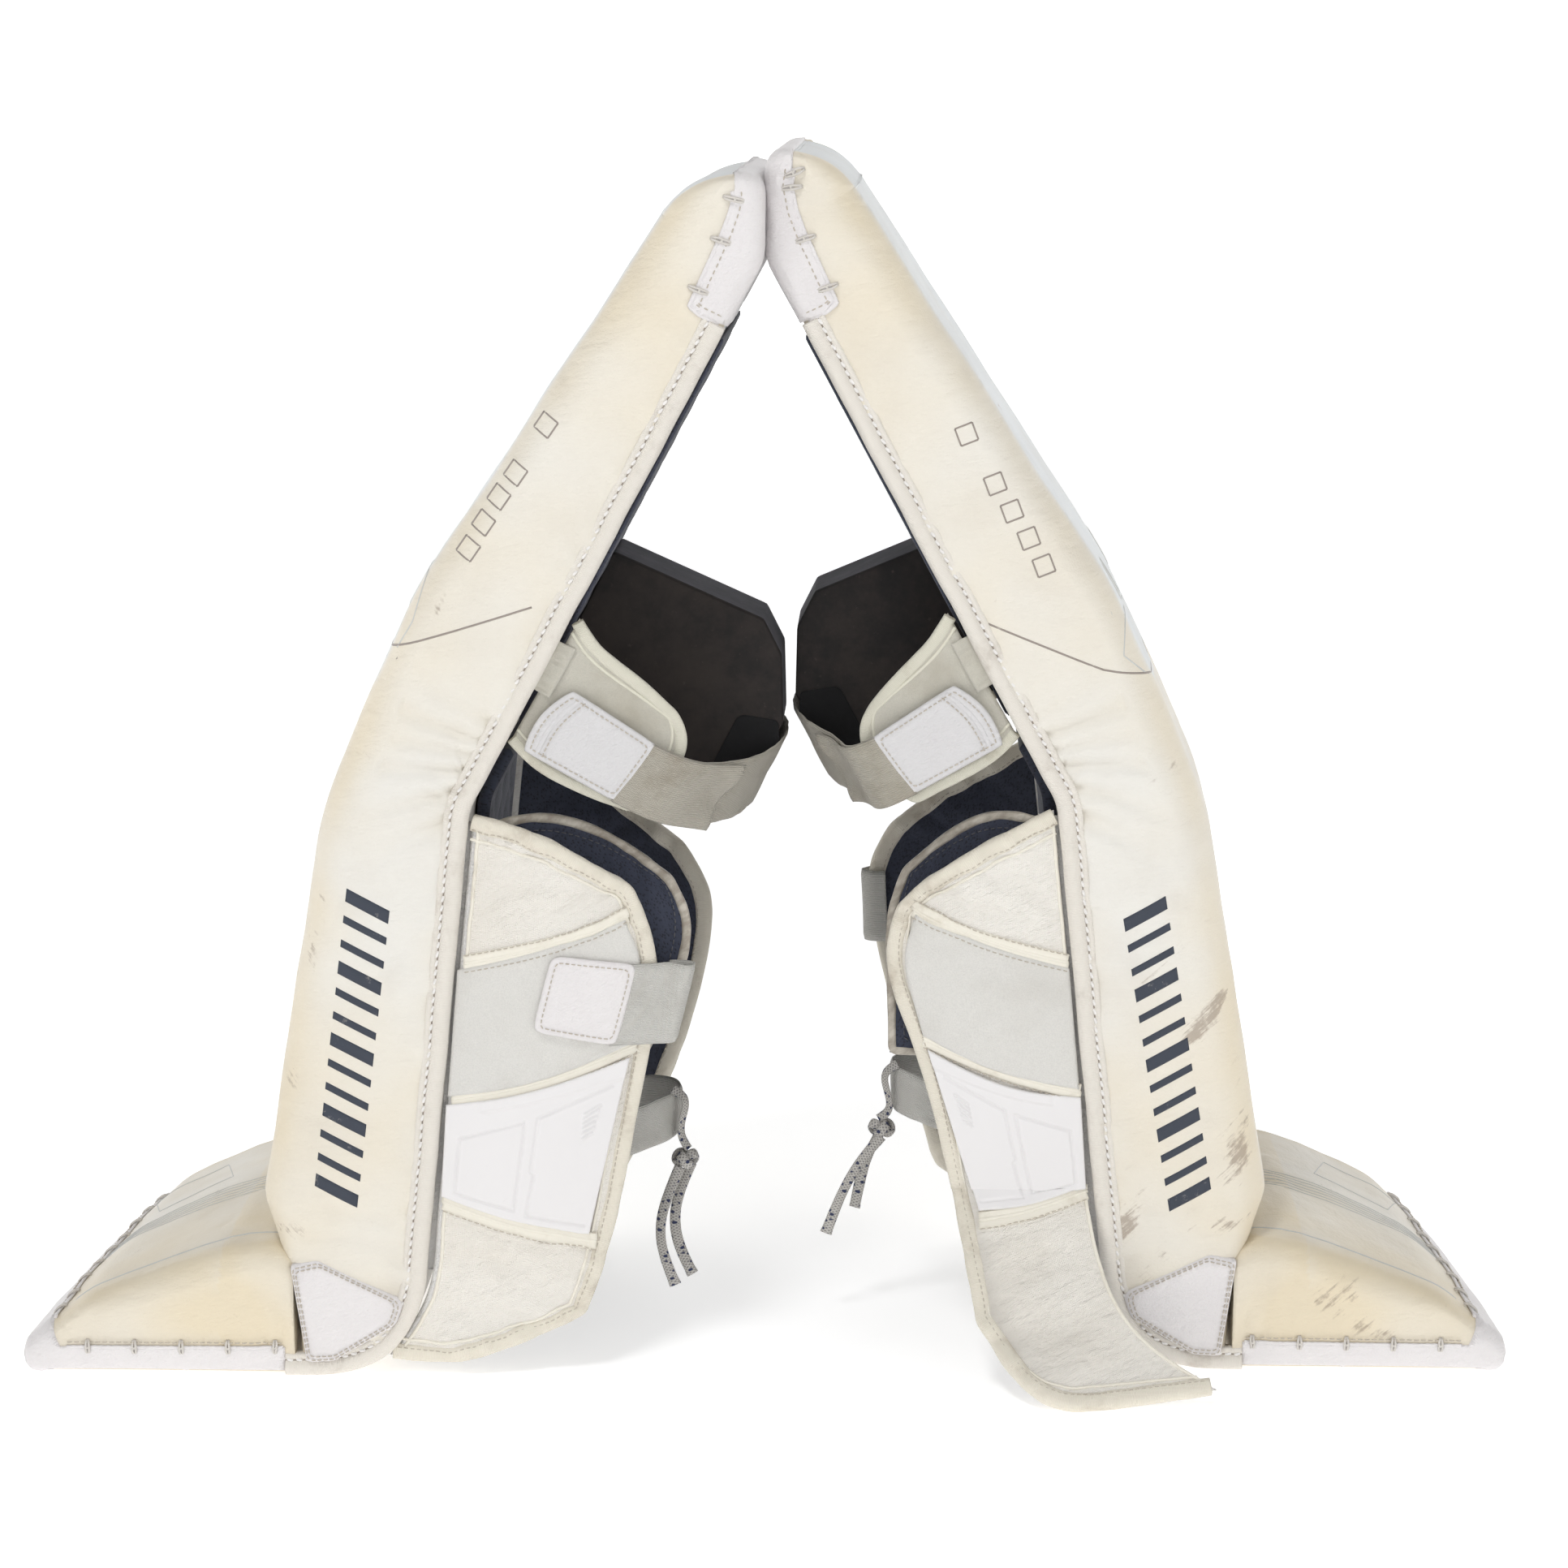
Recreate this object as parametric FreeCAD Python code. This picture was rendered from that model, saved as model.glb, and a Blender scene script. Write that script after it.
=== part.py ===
"""A pair of ice hockey goalie leg pads, stood on their boots with the thigh tops leaning together.

Millimetres, +Z up. The pads mirror each other across X = 0. Every piece is drawn in one pad's own
frame: u is the distance outward from the mirror plane (towards the pad's face and toe), y runs from
the near side (negative) to the far side, z is the height above the ice. place() then puts the piece
on the left pad (X = -u) or on the right pad (X = +u).
"""
import FreeCAD, Part
import math
import os
from FreeCAD import Vector

# ---- driving dimensions ----
PAD_WIDTH = 279.0          # the legal width of a pad, 11 inches
HALF = PAD_WIDTH / 2
SKIN = 2.0                 # thickness of the stitched cover
LEFT_SETBACK = 9.0         # each pad's centre plane, along Y
RIGHT_SETBACK = 37.0

# side outline of a pad: (u, z, corner radius), from the thigh top round the front to the heel.
# The right pad leans a little less, so its top is higher.
TOPS = {
    "left": [(2.0, 722.0, 12.0), (43.0, 719.5, 54.0)],
    "right": [(2.0, 736.0, 14.0), (40.0, 730.0, 48.0)],
}
BELOW_TOP = [
    (207.0, 475.0, 200.0), (262.0, 352.0, 200.0),
    (304.0, 108.0, 22.0), (296.0, 79.0, 0.0), (322.0, 77.0, 30.0), (414.0, 45.0, 60.0),
    (450.0, 18.0, 8.0), (448.0, 0.0, 3.0), (212.0, 0.0, 72.0), (175.0, 350.0, 40.0), (2.0, 672.0, 30.0),
]
# breaks: the pad folds about these axes, each a convex end turning in a concave socket
KNEE_AXIS = (208.0, 382.0)
KNEE_RADIUS = 34.0
KNEE_LEAN = 20.0           # degrees from vertical, along the pad at the knee
KNEE_LIP = 9.6             # room beside the convex end for 12 degrees of travel
BOOT_AXIS = (287.0, 39.0)
BOOT_RADIUS = 35.0
BOOT_LEAN = 77.0
BOOT_LIP = 7.5
BOOT_TOP = 81.0            # the shin overhangs the boot above this height
BREAK_CLEARANCE = 0.5

PIPE_BAND = 13.0           # width of the rolled edge seen from the side
PIPE_PROUD = 2.0
PIPE_DEPTH = 14.0
BINDING = 1.6              # leather binding round the thigh top and the toe
PATCH = 1.3

FLAP = 7.0                 # padded nylon calf flaps
FLAP_Y = 131.0
LOOP_PANEL = 1.5
PLATE = 2.6
FLARE = 86.0               # how far the open flap's lower edge stands out
FLARE_START = 112.0
SEWN_GAP = 0.6             # room left between layers that are sewn or stuck together
FLARED_PLATE_GAP = 2.4     # the stiff plate stands off the flap where the flap flares
WEB = 2.4                  # elastic webbing at the knee and the ankle
ELASTIC = 1.8              # thinner elastic at the calf
TAB = 3.0                  # leather pull tabs
WING = 5.0
BLOCK_WIDTH = 70.0
BLOCK_NEAR = -50.0
BLOCK_DIRECTION = (0.88, 0.47)   # how a shorter block stack draws back towards the thigh
LEFT_BLOCK_DRAW = 0.0
RIGHT_BLOCK_DRAW = 28.0

LACE = 7.0
KNOT_RADIUS = 8.0
TIE = (2.4, 9.0, 1.4)      # a lace tie: width, length, thickness
TIE_PITCH = 28.5

# free lace ends, per pad: (u, y, z), from the knot to the cut end
LEFT_TAILS = (
    [(56, -40, 104), (63, -42, 88), (69, -43, 68), (67, -44, 47), (59, -44, 28)],
    [(49, -29, 104), (56, -27, 88), (61, -26, 68), (58, -27, 47), (49, -28, 30)],
)
RIGHT_TAILS = (
    [(70, -41, 117), (59, -44, 105), (49, -45, 89), (41, -45, 71), (35, -44, 54)],
    [(69, -28, 116), (61, -26, 101), (56, -26, 83), (53, -27, 66)],
)
BIG = 2000.0


# ---- flat outlines in the side plane ----
def rounded_wire(corners):
    """A closed wire of straight runs and tangent arcs in the plane y = 0."""
    count = len(corners)
    edges = []
    starts = []
    ends = []
    mids = []
    for i, (u, z, radius) in enumerate(corners):
        before = Vector(corners[i - 1][0] - u, 0, corners[i - 1][1] - z).normalize()
        after = Vector(corners[(i + 1) % count][0] - u, 0, corners[(i + 1) % count][1] - z).normalize()
        here = Vector(u, 0, z)
        if radius == 0:
            starts.append(here)
            ends.append(here)
            mids.append(None)
            continue
        half = before.getAngle(after) / 2
        reach = radius / math.tan(half)
        inward = (before + after).normalize()
        centre = here + inward * (radius / math.sin(half))
        starts.append(here + before * reach)
        ends.append(here + after * reach)
        mids.append(centre - inward * radius)
    for i in range(count):
        if mids[i] is not None:
            edges.append(Part.Arc(starts[i], mids[i], ends[i]).toShape())
        edges.append(Part.LineSegment(ends[i], starts[(i + 1) % count]).toShape())
    return Part.Wire(edges)


def face_of(corners):
    return Part.Face(rounded_wire(corners))


def polygon(points):
    return face_of([(u, z, 0) for u, z in points])


def prism(face, low, high):
    moved = face.copy()
    moved.translate(Vector(0, low, 0))
    return moved.extrude(Vector(0, high - low, 0))


def disk(axis, radius):
    circle = Part.Circle(Vector(axis[0], 0, axis[1]), Vector(0, 1, 0), radius)
    return Part.Face(Part.Wire(circle.toShape()))


def half_plane(axis, lean, distance, towards):
    """The side of a line across the pad that lies along the lean (towards = 1) or against it."""
    along = Vector(math.sin(math.radians(lean)), 0, -math.cos(math.radians(lean)))
    across = Vector(along.z, 0, -along.x)
    start = Vector(axis[0], 0, axis[1]) + along * distance
    far = along * (towards * BIG)
    points = [start - across * BIG, start + across * BIG, start + across * BIG + far,
              start - across * BIG + far]
    return polygon([(p.x, p.z) for p in points])


def one_face(shape):
    """The largest face of a flat boolean's result, with its leftover seams removed."""
    return max(shape.removeSplitter().Faces, key=lambda face: face.Area)


# ---- soft sheets: a mid surface of points, thickened on both sides ----
def smooth(points, count):
    """count points, evenly spaced, on a smooth curve through a few chosen points."""
    vectors = [Vector(*p) for p in points]
    if len(vectors) == 2:
        return [vectors[0] + (vectors[1] - vectors[0]) * (i / (count - 1)) for i in range(count)]
    spline = Part.BSplineCurve()
    spline.interpolate(vectors)
    return spline.toShape().discretize(count)


def patch(top, bottom, root, free, rows, columns):
    """A grid of points blended between four boundary curves (a Coons patch)."""
    top, bottom = smooth(top, columns), smooth(bottom, columns)
    root, free = smooth(root, rows), smooth(free, rows)
    grid = []
    for i in range(rows):
        down = i / (rows - 1)
        row = []
        for j in range(columns):
            over = j / (columns - 1)
            ruled = top[j] * (1 - down) + bottom[j] * down + root[i] * (1 - over) + free[i] * over
            corners = (top[0] * ((1 - down) * (1 - over)) + top[-1] * ((1 - down) * over)
                       + bottom[0] * (down * (1 - over)) + bottom[-1] * (down * over))
            row.append(ruled - corners)
        grid.append(row)
    return grid


def ribbon(sections, columns):
    """A band between its two edges, each a smooth curve through the sections' ends."""
    return [smooth([s[0] for s in sections], columns), smooth([s[1] for s in sections], columns)]


def thicken(grid, thickness):
    """A closed solid of flat facets, half the thickness to each side of a grid of points."""
    rows, columns = len(grid), len(grid[0])
    layers = ([], [])
    for i in range(rows):
        for j in range(columns):
            down = grid[min(i + 1, rows - 1)][j] - grid[max(i - 1, 0)][j]
            over = grid[i][min(j + 1, columns - 1)] - grid[i][max(j - 1, 0)]
            normal = down.cross(over).normalize()
            layers[0].append(grid[i][j] + normal * (thickness / 2))
            layers[1].append(grid[i][j] - normal * (thickness / 2))

    def index(i, j):
        return i * columns + j

    quads = []
    for i in range(rows - 1):
        for j in range(columns - 1):
            a, b, c, d = index(i, j), index(i, j + 1), index(i + 1, j + 1), index(i + 1, j)
            quads.append([(0, a), (0, b), (0, c), (0, d)])
            quads.append([(1, d), (1, c), (1, b), (1, a)])
    rim = [(0, j) for j in range(columns)] + [(i, columns - 1) for i in range(1, rows)]
    rim += [(rows - 1, j) for j in range(columns - 2, -1, -1)] + [(i, 0) for i in range(rows - 2, 0, -1)]
    for k, here in enumerate(rim):
        there = rim[(k + 1) % len(rim)]
        quads.append([(0, index(*there)), (0, index(*here)), (1, index(*here)), (1, index(*there))])
    faces = []
    for quad in quads:
        corners = [layers[layer][number] for layer, number in quad]
        for triple in ((0, 1, 2), (0, 2, 3)):
            points = [corners[t] for t in triple]
            faces.append(Part.Face(Part.makePolygon(points + points[:1])))
    solid = Part.makeSolid(Part.makeShell(faces))
    if solid.Volume < 0:
        solid.reverse()
    return solid


# ---- the pad body ----
PADS = {side: face_of(top + BELOW_TOP) for side, top in TOPS.items()}
PAD = PADS["left"]         # both pads are alike below the top
THIGHS = {
    side: one_face(pad.common(half_plane(KNEE_AXIS, KNEE_LEAN, 0, -1)).fuse(disk(KNEE_AXIS, KNEE_RADIUS)))
    for side, pad in PADS.items()
}
BELOW_KNEE = half_plane(KNEE_AXIS, KNEE_LEAN, KNEE_LIP, 1).cut(disk(KNEE_AXIS, KNEE_RADIUS + BREAK_CLEARANCE))
BEFORE_BOOT = half_plane(BOOT_AXIS, BOOT_LEAN, 0, 1).common(
    polygon([(0, -50), (600, -50), (600, BOOT_TOP - 1), (0, BOOT_TOP - 1)]))
BOOT = one_face(PAD.common(BEFORE_BOOT).fuse(disk(BOOT_AXIS, BOOT_RADIUS)))
BOOT_ROOM = half_plane(BOOT_AXIS, BOOT_LEAN, -BOOT_LIP, 1).common(
    polygon([(0, -50), (600, -50), (600, BOOT_TOP), (0, BOOT_TOP)]))
SHIN = one_face(PAD.common(BELOW_KNEE).cut(BOOT_ROOM).cut(disk(BOOT_AXIS, BOOT_RADIUS + BREAK_CLEARANCE)))
REAR_SIDE = polygon([(-60, 634), (70, 634), (150, 520), (230, 350), (245, 60), (291, 25), (291, -20), (-60, -20)])
BAND = PAD.cut(PAD.makeOffset2D(-PIPE_BAND)).common(REAR_SIDE)


def both_sides(shape):
    return [shape, shape.mirror(Vector(0, 0, 0), Vector(0, 1, 0))]


def near_and_far(face, outer, inner):
    return Part.makeCompound(both_sides(prism(face, -outer, -inner)))


def piping(section):
    """The rolled, stitched edges along both rear corners of a section."""
    return near_and_far(BAND.common(section), HALF + PIPE_PROUD, HALF + PIPE_PROUD - PIPE_DEPTH)


def core(section):
    inner = section.makeOffset2D(-SKIN)
    return prism(inner, -HALF + SKIN, HALF - SKIN).cut(piping(section))


def cover(section):
    inner = section.makeOffset2D(-SKIN)
    whole = prism(section, -HALF, HALF)
    return whole.cut(prism(inner, -HALF + SKIN, HALF - SKIN)).cut(piping(section))


def wrapped(face, region, thickness):
    """A thin layer outside the pad's outline and sides, within a region of the side view."""
    grown = face.makeOffset2D(thickness)
    shell = prism(grown, -HALF - thickness, HALF + thickness).cut(prism(face, -HALF, HALF))
    return shell.common(prism(region, -BIG, BIG))


def thigh_top_cap(side):
    region = polygon([(-30, 750), (17, 750), (16, 716), (18.5, 701), (23, 688), (42, 647), (36, 642),
                      (24, 636.5), (-30, 611)])
    return wrapped(PADS[side], region, BINDING).cut(piping(THIGHS[side]))


def toe_binding():
    region = polygon([(291, 0), (500, 0), (500, 40), (434, 28), (430, 18), (291, 18)])
    return wrapped(PAD, region, BINDING)


def tie_bar(u, z, direction):
    """One lace tie lying across a binding's edge on the near side."""
    width, length, thick = TIE
    bar = Part.makeBox(width, thick, length, Vector(-width / 2, -thick / 2, -length / 2))
    bar.rotate(Vector(0, 0, 0), Vector(0, 1, 0), direction)
    bar.translate(Vector(u, -HALF - BINDING - thick / 2 - 0.1, z))
    return bar


def cap_lacing():
    places = [(15, 711, 80), (23, 684, 72), (36, 655, 68)]
    bars = []
    for u, z, direction in places:
        bars += both_sides(tie_bar(u, z, direction))
    return Part.makeCompound(bars)


def toe_lacing():
    """Ties along the sides, and across the toe's upper edge."""
    bars = []
    for k in range(6):
        bars += both_sides(tie_bar(292 + 4 + k * TIE_PITCH, 17, 0))
    width, length, thick = TIE
    for k in range(9):
        y = (k - 4) * TIE_PITCH
        bar = Part.makeBox(length, width, thick, Vector(-length / 2, -width / 2, 0.2))
        bar.rotate(Vector(0, 0, 0), Vector(0, 1, 0), math.degrees(math.atan2(27.0, 36.0)))
        bar.translate(Vector(437, y, 28.0) + Vector(0.6, 0, 0.8) * BINDING)
        bars.append(bar)
    return Part.makeCompound(bars)


def ankle_patches():
    patch_face = face_of([(284, 71, 5), (268, 73, 5), (217, 50, 4), (270, 7, 6), (275, 20, 4)])
    return near_and_far(patch_face, HALF + PIPE_PROUD + PATCH, HALF + PIPE_PROUD + 0.1)


def back_liner(region, thickness, half_width):
    """A padded lining on the pad's back, inside a region of the side view."""
    grown = PAD.makeOffset2D(thickness).cut(PAD)
    return prism(grown.common(polygon(region)), -half_width, half_width)


# ---- knee ----
def drawn(point, amount):
    """Move a point back towards the thigh, as far as a shorter block stack does."""
    return (point[0] + BLOCK_DIRECTION[0] * amount, point[-1] + BLOCK_DIRECTION[1] * amount)


def knee_block(draw):
    rear = [(3, 452), (-8, 430), (-9, 388), (22, 339), (48, 328)]
    points = [(93, 495)] + [drawn(p, draw) for p in rear] + [(141, 405)]
    radii = [2, 3, 4, 4, 4, 8, 2]
    shape = face_of([(p[0], p[1], r) for p, r in zip(points, radii)])
    return prism(shape, BLOCK_NEAR, BLOCK_NEAR + BLOCK_WIDTH)


def knee_wing(draw):
    """The felt flap beside the knee; it reaches less far where the block stack is shorter."""
    pull = 0.36 * draw
    top = [(108, -128, 464), (102, -127, 453), (78 + pull / 2, -121, 429), (55 + pull, -114, 405)]
    free = [(55 + pull, -114, 405), (48 + pull, -112.5, 390), (57 + pull, -113.5, 366), (80 + pull, -118, 348)]
    bottom = [(150, -128, 390), (138, -127, 377), (114, -124, 362), (80 + pull, -118, 348)]
    root = [(108, -128, 464), (150, -128, 390)]
    return thicken(patch(top, bottom, root, free, 8, 9), WING)


def knee_tab():
    top = [(112, -133.5, 422), (63, -125.5, 388)]
    bottom = [(142, -133.5, 386), (88, -127.5, 354)]
    root = [(112, -133.5, 422), (131, -134.5, 407), (142, -133.5, 386)]
    free = [(63, -125.5, 388), (88, -127.5, 354)]
    return thicken(patch(top, bottom, root, free, 5, 7), TAB)


def knee_strap(draw):
    """The elastic band from the tab round the block's lower rear corner to the far side."""
    def shifted(section, share):
        return [(*drawn((p[0], p[2]), draw * share), p[1]) for p in section]

    sections = [
        ([(60, -125, 386), (85, -127, 352)], 0.0), ([(43, -117.5, 378), (64, -120, 341)], 0.3),
        ([(22, -97, 373), (43, -98, 335)], 0.8), ([(3, -74, 374), (27, -75, 333)], 1.0),
        ([(-9, -44, 379), (14, -44, 335)], 1.0), ([(-11, -14, 380), (12, -14, 336)], 1.0),
        ([(-8, 18, 381), (15, 18, 337)], 1.0), ([(10, 52, 384), (28, 52, 340)], 0.9),
        ([(55, 90, 392), (66, 90, 349)], 0.5), ([(105, 116, 402), (112, 116, 360)], 0.1),
        ([(143, 124, 408), (150, 124, 372)], 0.0),
    ]
    ordered = []
    for section, share in sections:
        (ut, zt, yt), (ub, zb, yb) = shifted(section, share)
        ordered.append(((ut, yt, zt), (ub, yb, zb)))
    return thicken(ribbon(ordered, 26), WEB)


# ---- calf flaps ----
def flap_depth(u, z, flare=0.0):
    """How far the calf flap's mid surface lies from the pad's centre plane."""
    share = max(0.0, min(1.0, (hinge_line(z) - u) / 125.0))
    swing = flare * max(0.0, (FLARE_START - z) / FLARE_START) ** 1.2
    return FLAP_Y + 5.0 * math.sin(math.pi * share) - 11.0 * share * share + swing


def hinge_line(z):
    """The line that a calf flap turns about, just behind the pad's rear edge."""
    return 173 + (349 - z) * 0.109


def flat(points):
    return [(u, 0, z) for u, z in points]


def drape(grid, lift, flare=0.0, bend=0.0):
    """Lay a flat grid on the near flap's surface; bend draws its free edge towards the leg."""
    for row in grid:
        for point in row:
            point.y = -flap_depth(point.x, point.z, flare) - lift + bend * max(0.0, 120 - point.x)
    return grid


ROOT_EDGE = [(172, 346), (182, 250), (191, 160), (198, 92)]


def outer_calf_flap(flare):
    """The near flap. Where it hangs open, its lower part stands out in front of the heel."""
    if flare:
        top = flat([(172, 346), (133, 325), (98, 301), (82, 284)])
        free = flat([(82, 284), (75, 256), (86, 212), (100, 172), (122, 90), (131, 43)])
        bottom = flat([(270, 11), (223, 5), (172, 6), (131, 43)])
        root = flat(ROOT_EDGE + [(217, 45), (270, 11)])
    else:
        top = flat([(172, 346), (144, 338), (107, 319), (80, 300)])
        free = flat([(80, 300), (67, 262), (69, 209), (79, 157), (95, 84), (110, 39)])
        bottom = flat([(228, 11), (200, 9), (165, 16), (110, 39)])
        root = flat(ROOT_EDGE + [(204, 52), (228, 11)])
    return thicken(drape(patch(top, bottom, root, free, 14, 9), 0.0, flare), FLAP)


def calf_loop_panel(flare):
    lift = FLAP / 2 + SEWN_GAP + LOOP_PANEL / 2
    if flare:
        top = flat([(180, 250), (130, 266), (94, 284)])
        free = flat([(94, 284), (86, 256), (92, 225), (97, 206)])
        bottom = flat([(188, 176), (133, 187), (97, 206)])
    else:
        top = flat([(180, 252), (126, 269), (87, 284)])
        free = flat([(87, 284), (77, 262), (79, 220), (84, 200)])
        bottom = flat([(188, 176), (141, 183), (84, 200)])
    root = [top[0], bottom[0]]
    return thicken(drape(patch(top, bottom, root, free, 7, 9), lift), LOOP_PANEL)


def calf_plate(flare):
    lift = FLAP / 2 + SEWN_GAP + PLATE / 2
    if flare:
        lift += FLARED_PLATE_GAP
    corner = (102, 196) if flare else (82, 195)
    foot = (131, 99) if flare else (106, 92)
    top = flat([(189, 172), (141, 179), corner])
    free = flat([corner, foot])
    bottom = flat([(193, 114), (155, 100), foot])
    root = flat([(189, 172), (193, 114)])
    return thicken(drape(patch(top, bottom, root, free, 8, 8), lift, flare), PLATE)


def inner_calf_flap(side):
    """The lining flap, which shows above the near flap and, on the left, beyond its free edge."""
    if side == "left":
        top = [(158, -116, 330), (142, -109, 334), (93, -100, 319), (60, -99, 298)]
        free = [(60, -99, 298), (50, -100, 275), (54, -105, 245), (75, -109, 190)]
    else:
        top = [(158, -116, 330), (142, -109, 334), (112, -102, 320), (86, -99, 299)]
        free = [(86, -99, 299), (78, -100, 275), (76, -105, 245), (75, -109, 190)]
    bottom = [(180, -118, 200), (130, -110, 190), (75, -109, 190)]
    root = [(158, -116, 330), (180, -118, 200)]
    return thicken(patch(top, bottom, root, free, 7, 8), 4.0)


def far_calf_flap(bend):
    if bend:
        top = flat([(170, 344), (149, 331), (97, 301), (65, 278)])
        free = flat([(65, 278), (46, 248), (46, 210), (59, 158), (82, 102), (108, 50)])
    else:
        top = flat([(170, 344), (149, 331), (108, 306), (78, 283)])
        free = flat([(78, 283), (63, 256), (63, 224), (71, 185), (87, 120), (108, 50)])
    bottom = flat([(224, 16), (200, 12), (160, 20), (108, 50)])
    root = flat([(170, 344)] + ROOT_EDGE[1:] + [(204, 52), (224, 16)])
    return across(thicken(drape(patch(top, bottom, root, free, 13, 9), 0.0, 0.0, bend), FLAP))


def calf_tab():
    lift = FLAP / 2 + LOOP_PANEL + 2 * SEWN_GAP + TAB / 2
    top = flat([(126, 264), (77, 257)])
    bottom = flat([(138, 217), (90, 207)])
    root = flat([(126, 264), (138, 217)])
    free = flat([(77, 257), (90, 207)])
    return thicken(drape(patch(top, bottom, root, free, 5, 7), lift), TAB)


def calf_elastic(edge_top, edge_bottom):
    """The band from the tab, round a flap's free edge, to its anchor inside."""
    outside = FLAP / 2 + LOOP_PANEL + 2 * SEWN_GAP + ELASTIC / 2
    sections = []
    for share in (0.0, 0.33, 0.67, 1.0):
        top = 74 + (edge_top + 6 - 74) * share
        bottom = 87 + (edge_bottom + 6 - 87) * share
        sections.append(tuple(
            (u, -flap_depth(u, z) - outside, z) for u, z in ((top, 257), (bottom, 207))))
    for shift, depth in ((-5, 127.0), (-8.5, 121), (-4, 114.8), (7, 113.8)):
        sections.append(((edge_top + shift, -depth, 255), (edge_bottom + shift, -depth, 207)))
    return thicken(ribbon(sections, 13), ELASTIC)


# ---- ankle strap and laces ----
def ankle_strap(rear, rise):
    """An elastic loop behind the ankle, from one side of the leg channel to the other."""
    def band(u, y, z):
        return ((u, y, z + 15 + rise), (u + 1, y, z - 15 + rise))

    sections = [band(183, -62, 108), band(150, -62, 114), band(rear + 42, -56, 126), band(rear + 9, -38, 134),
                band(rear, -14, 135), band(rear + 10, 10, 134), band(rear + 44, 32, 126), band(150, 44, 114),
                band(183, 50, 108)]
    return thicken(ribbon(sections, 24), WEB)


def lace_knot(tails):
    start = (Vector(*tails[0][0]) + Vector(*tails[1][0])) * 0.5
    return Part.makeSphere(KNOT_RADIUS, start + Vector(0.5, 0, 4.0))


def lace_tail(route):
    """A lace end as straight runs joined by tangent arcs, each as large as its runs allow."""
    points = [Vector(*p) for p in route]
    edges = []
    here = points[0]
    radii = []
    for before, corner, after in zip(points, points[1:], points[2:]):
        back = (before - corner)
        ahead = (after - corner)
        run = min(back.Length, ahead.Length)
        back.normalize()
        ahead.normalize()
        half_turn = (math.pi - back.getAngle(ahead)) / 2
        radius = 0.45 * run / math.tan(half_turn)
        radii.append(round(radius, 1))
        reach = 0.45 * run
        start, end = corner + back * reach, corner + ahead * reach
        inward = (back + ahead).normalize()
        centre = corner + inward * (radius / math.cos(half_turn))
        edges.append(Part.LineSegment(here, start).toShape())
        edges.append(Part.Arc(start, centre - inward * radius, end).toShape())
        here = end
    edges.append(Part.LineSegment(here, points[-1]).toShape())
    path = Part.Wire(edges)
    circle = Part.Circle(points[0], points[1] - points[0], LACE / 2)
    tube = path.makePipeShell([Part.Wire(circle.toShape())], True, False)
    section = math.pi * LACE ** 2 / 4
    print("lace radii", radii, "length", round(path.Length, 1),
          "volume ratio", round(tube.Volume / (section * path.Length), 4))
    return tube


# ---- both pads ----
def place(shape, side):
    if side == "left":
        shape = shape.mirror(Vector(0, 0, 0), Vector(1, 0, 0))
    moved = shape.copy()
    moved.translate(Vector(0, LEFT_SETBACK if side == "left" else RIGHT_SETBACK, 0))
    return moved


def across(shape):
    return shape.mirror(Vector(0, 0, 0), Vector(0, 1, 0))


def shared_pieces():
    return {
        "thigh_liner": back_liner([(-60, 628), (60, 628), (195, 402), (-60, 402)], 3.0, 122.0),
        "cap_lacing": cap_lacing(),
        "shin_cover": cover(SHIN),
        "shin_core": core(SHIN),
        "shin_piping": piping(SHIN),
        "shin_liner": back_liner([(-60, 352), (230, 352), (250, 62), (-60, 62)], 8.0, 84.0),
        "ankle_patches": ankle_patches(),
        "boot_cover": cover(BOOT),
        "boot_core": core(BOOT),
        "toe_binding": toe_binding(),
        "toe_lacing": toe_lacing(),
        "knee_tab": knee_tab(),
    }


def side_pieces(side):
    if side == "left":
        draw, tails, rear, rise, flare, bend = LEFT_BLOCK_DRAW, LEFT_TAILS, 57.0, 0.0, 0.0, 0.25
        calf_strap = (calf_tab(), calf_elastic(50.0, 62.0))
    else:
        draw, tails, rear, rise, flare, bend = RIGHT_BLOCK_DRAW, RIGHT_TAILS, 76.0, 10.0, FLARE, 0.0
        calf_strap = (across(calf_tab()), across(calf_elastic(64.0, 66.0)))
    thigh = THIGHS[side]
    return {
        "thigh_cover": cover(thigh),
        "thigh_core": core(thigh),
        "thigh_piping": piping(thigh),
        "top_cap": thigh_top_cap(side),
        "knee_block": knee_block(draw),
        "knee_strap": knee_strap(draw),
        "knee_wing": knee_wing(draw),
        "outer_calf_flap": outer_calf_flap(flare),
        "calf_loop_panel": calf_loop_panel(flare),
        "calf_plate": calf_plate(flare),
        "inner_calf_flap": inner_calf_flap(side),
        "far_calf_flap": far_calf_flap(bend),
        "calf_tab": calf_strap[0],
        "calf_elastic": calf_strap[1],
        "ankle_strap": ankle_strap(rear, rise),
        "lace_knot": lace_knot(tails),
        "lace_tail_a": lace_tail(tails[0]),
        "lace_tail_b": lace_tail(tails[1]),
    }


def main():
    os.makedirs("parts", exist_ok=True)
    shared = shared_pieces()
    for side in ("left", "right"):
        pieces = dict(shared)
        pieces.update(side_pieces(side))
        for name, shape in pieces.items():
            placed = place(shape, side)
            box = placed.BoundBox
            print(f"{side}_{name}: {len(placed.Solids)} solids, valid {placed.isValid()}, "
                  f"volume {placed.Volume / 1000:.1f} cm3, X {box.XMin:.0f}..{box.XMax:.0f}, "
                  f"Y {box.YMin:.0f}..{box.YMax:.0f}, Z {box.ZMin:.1f}..{box.ZMax:.0f}")
            placed.exportStep(f"parts/{side}_{name}.step")


main()
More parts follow.
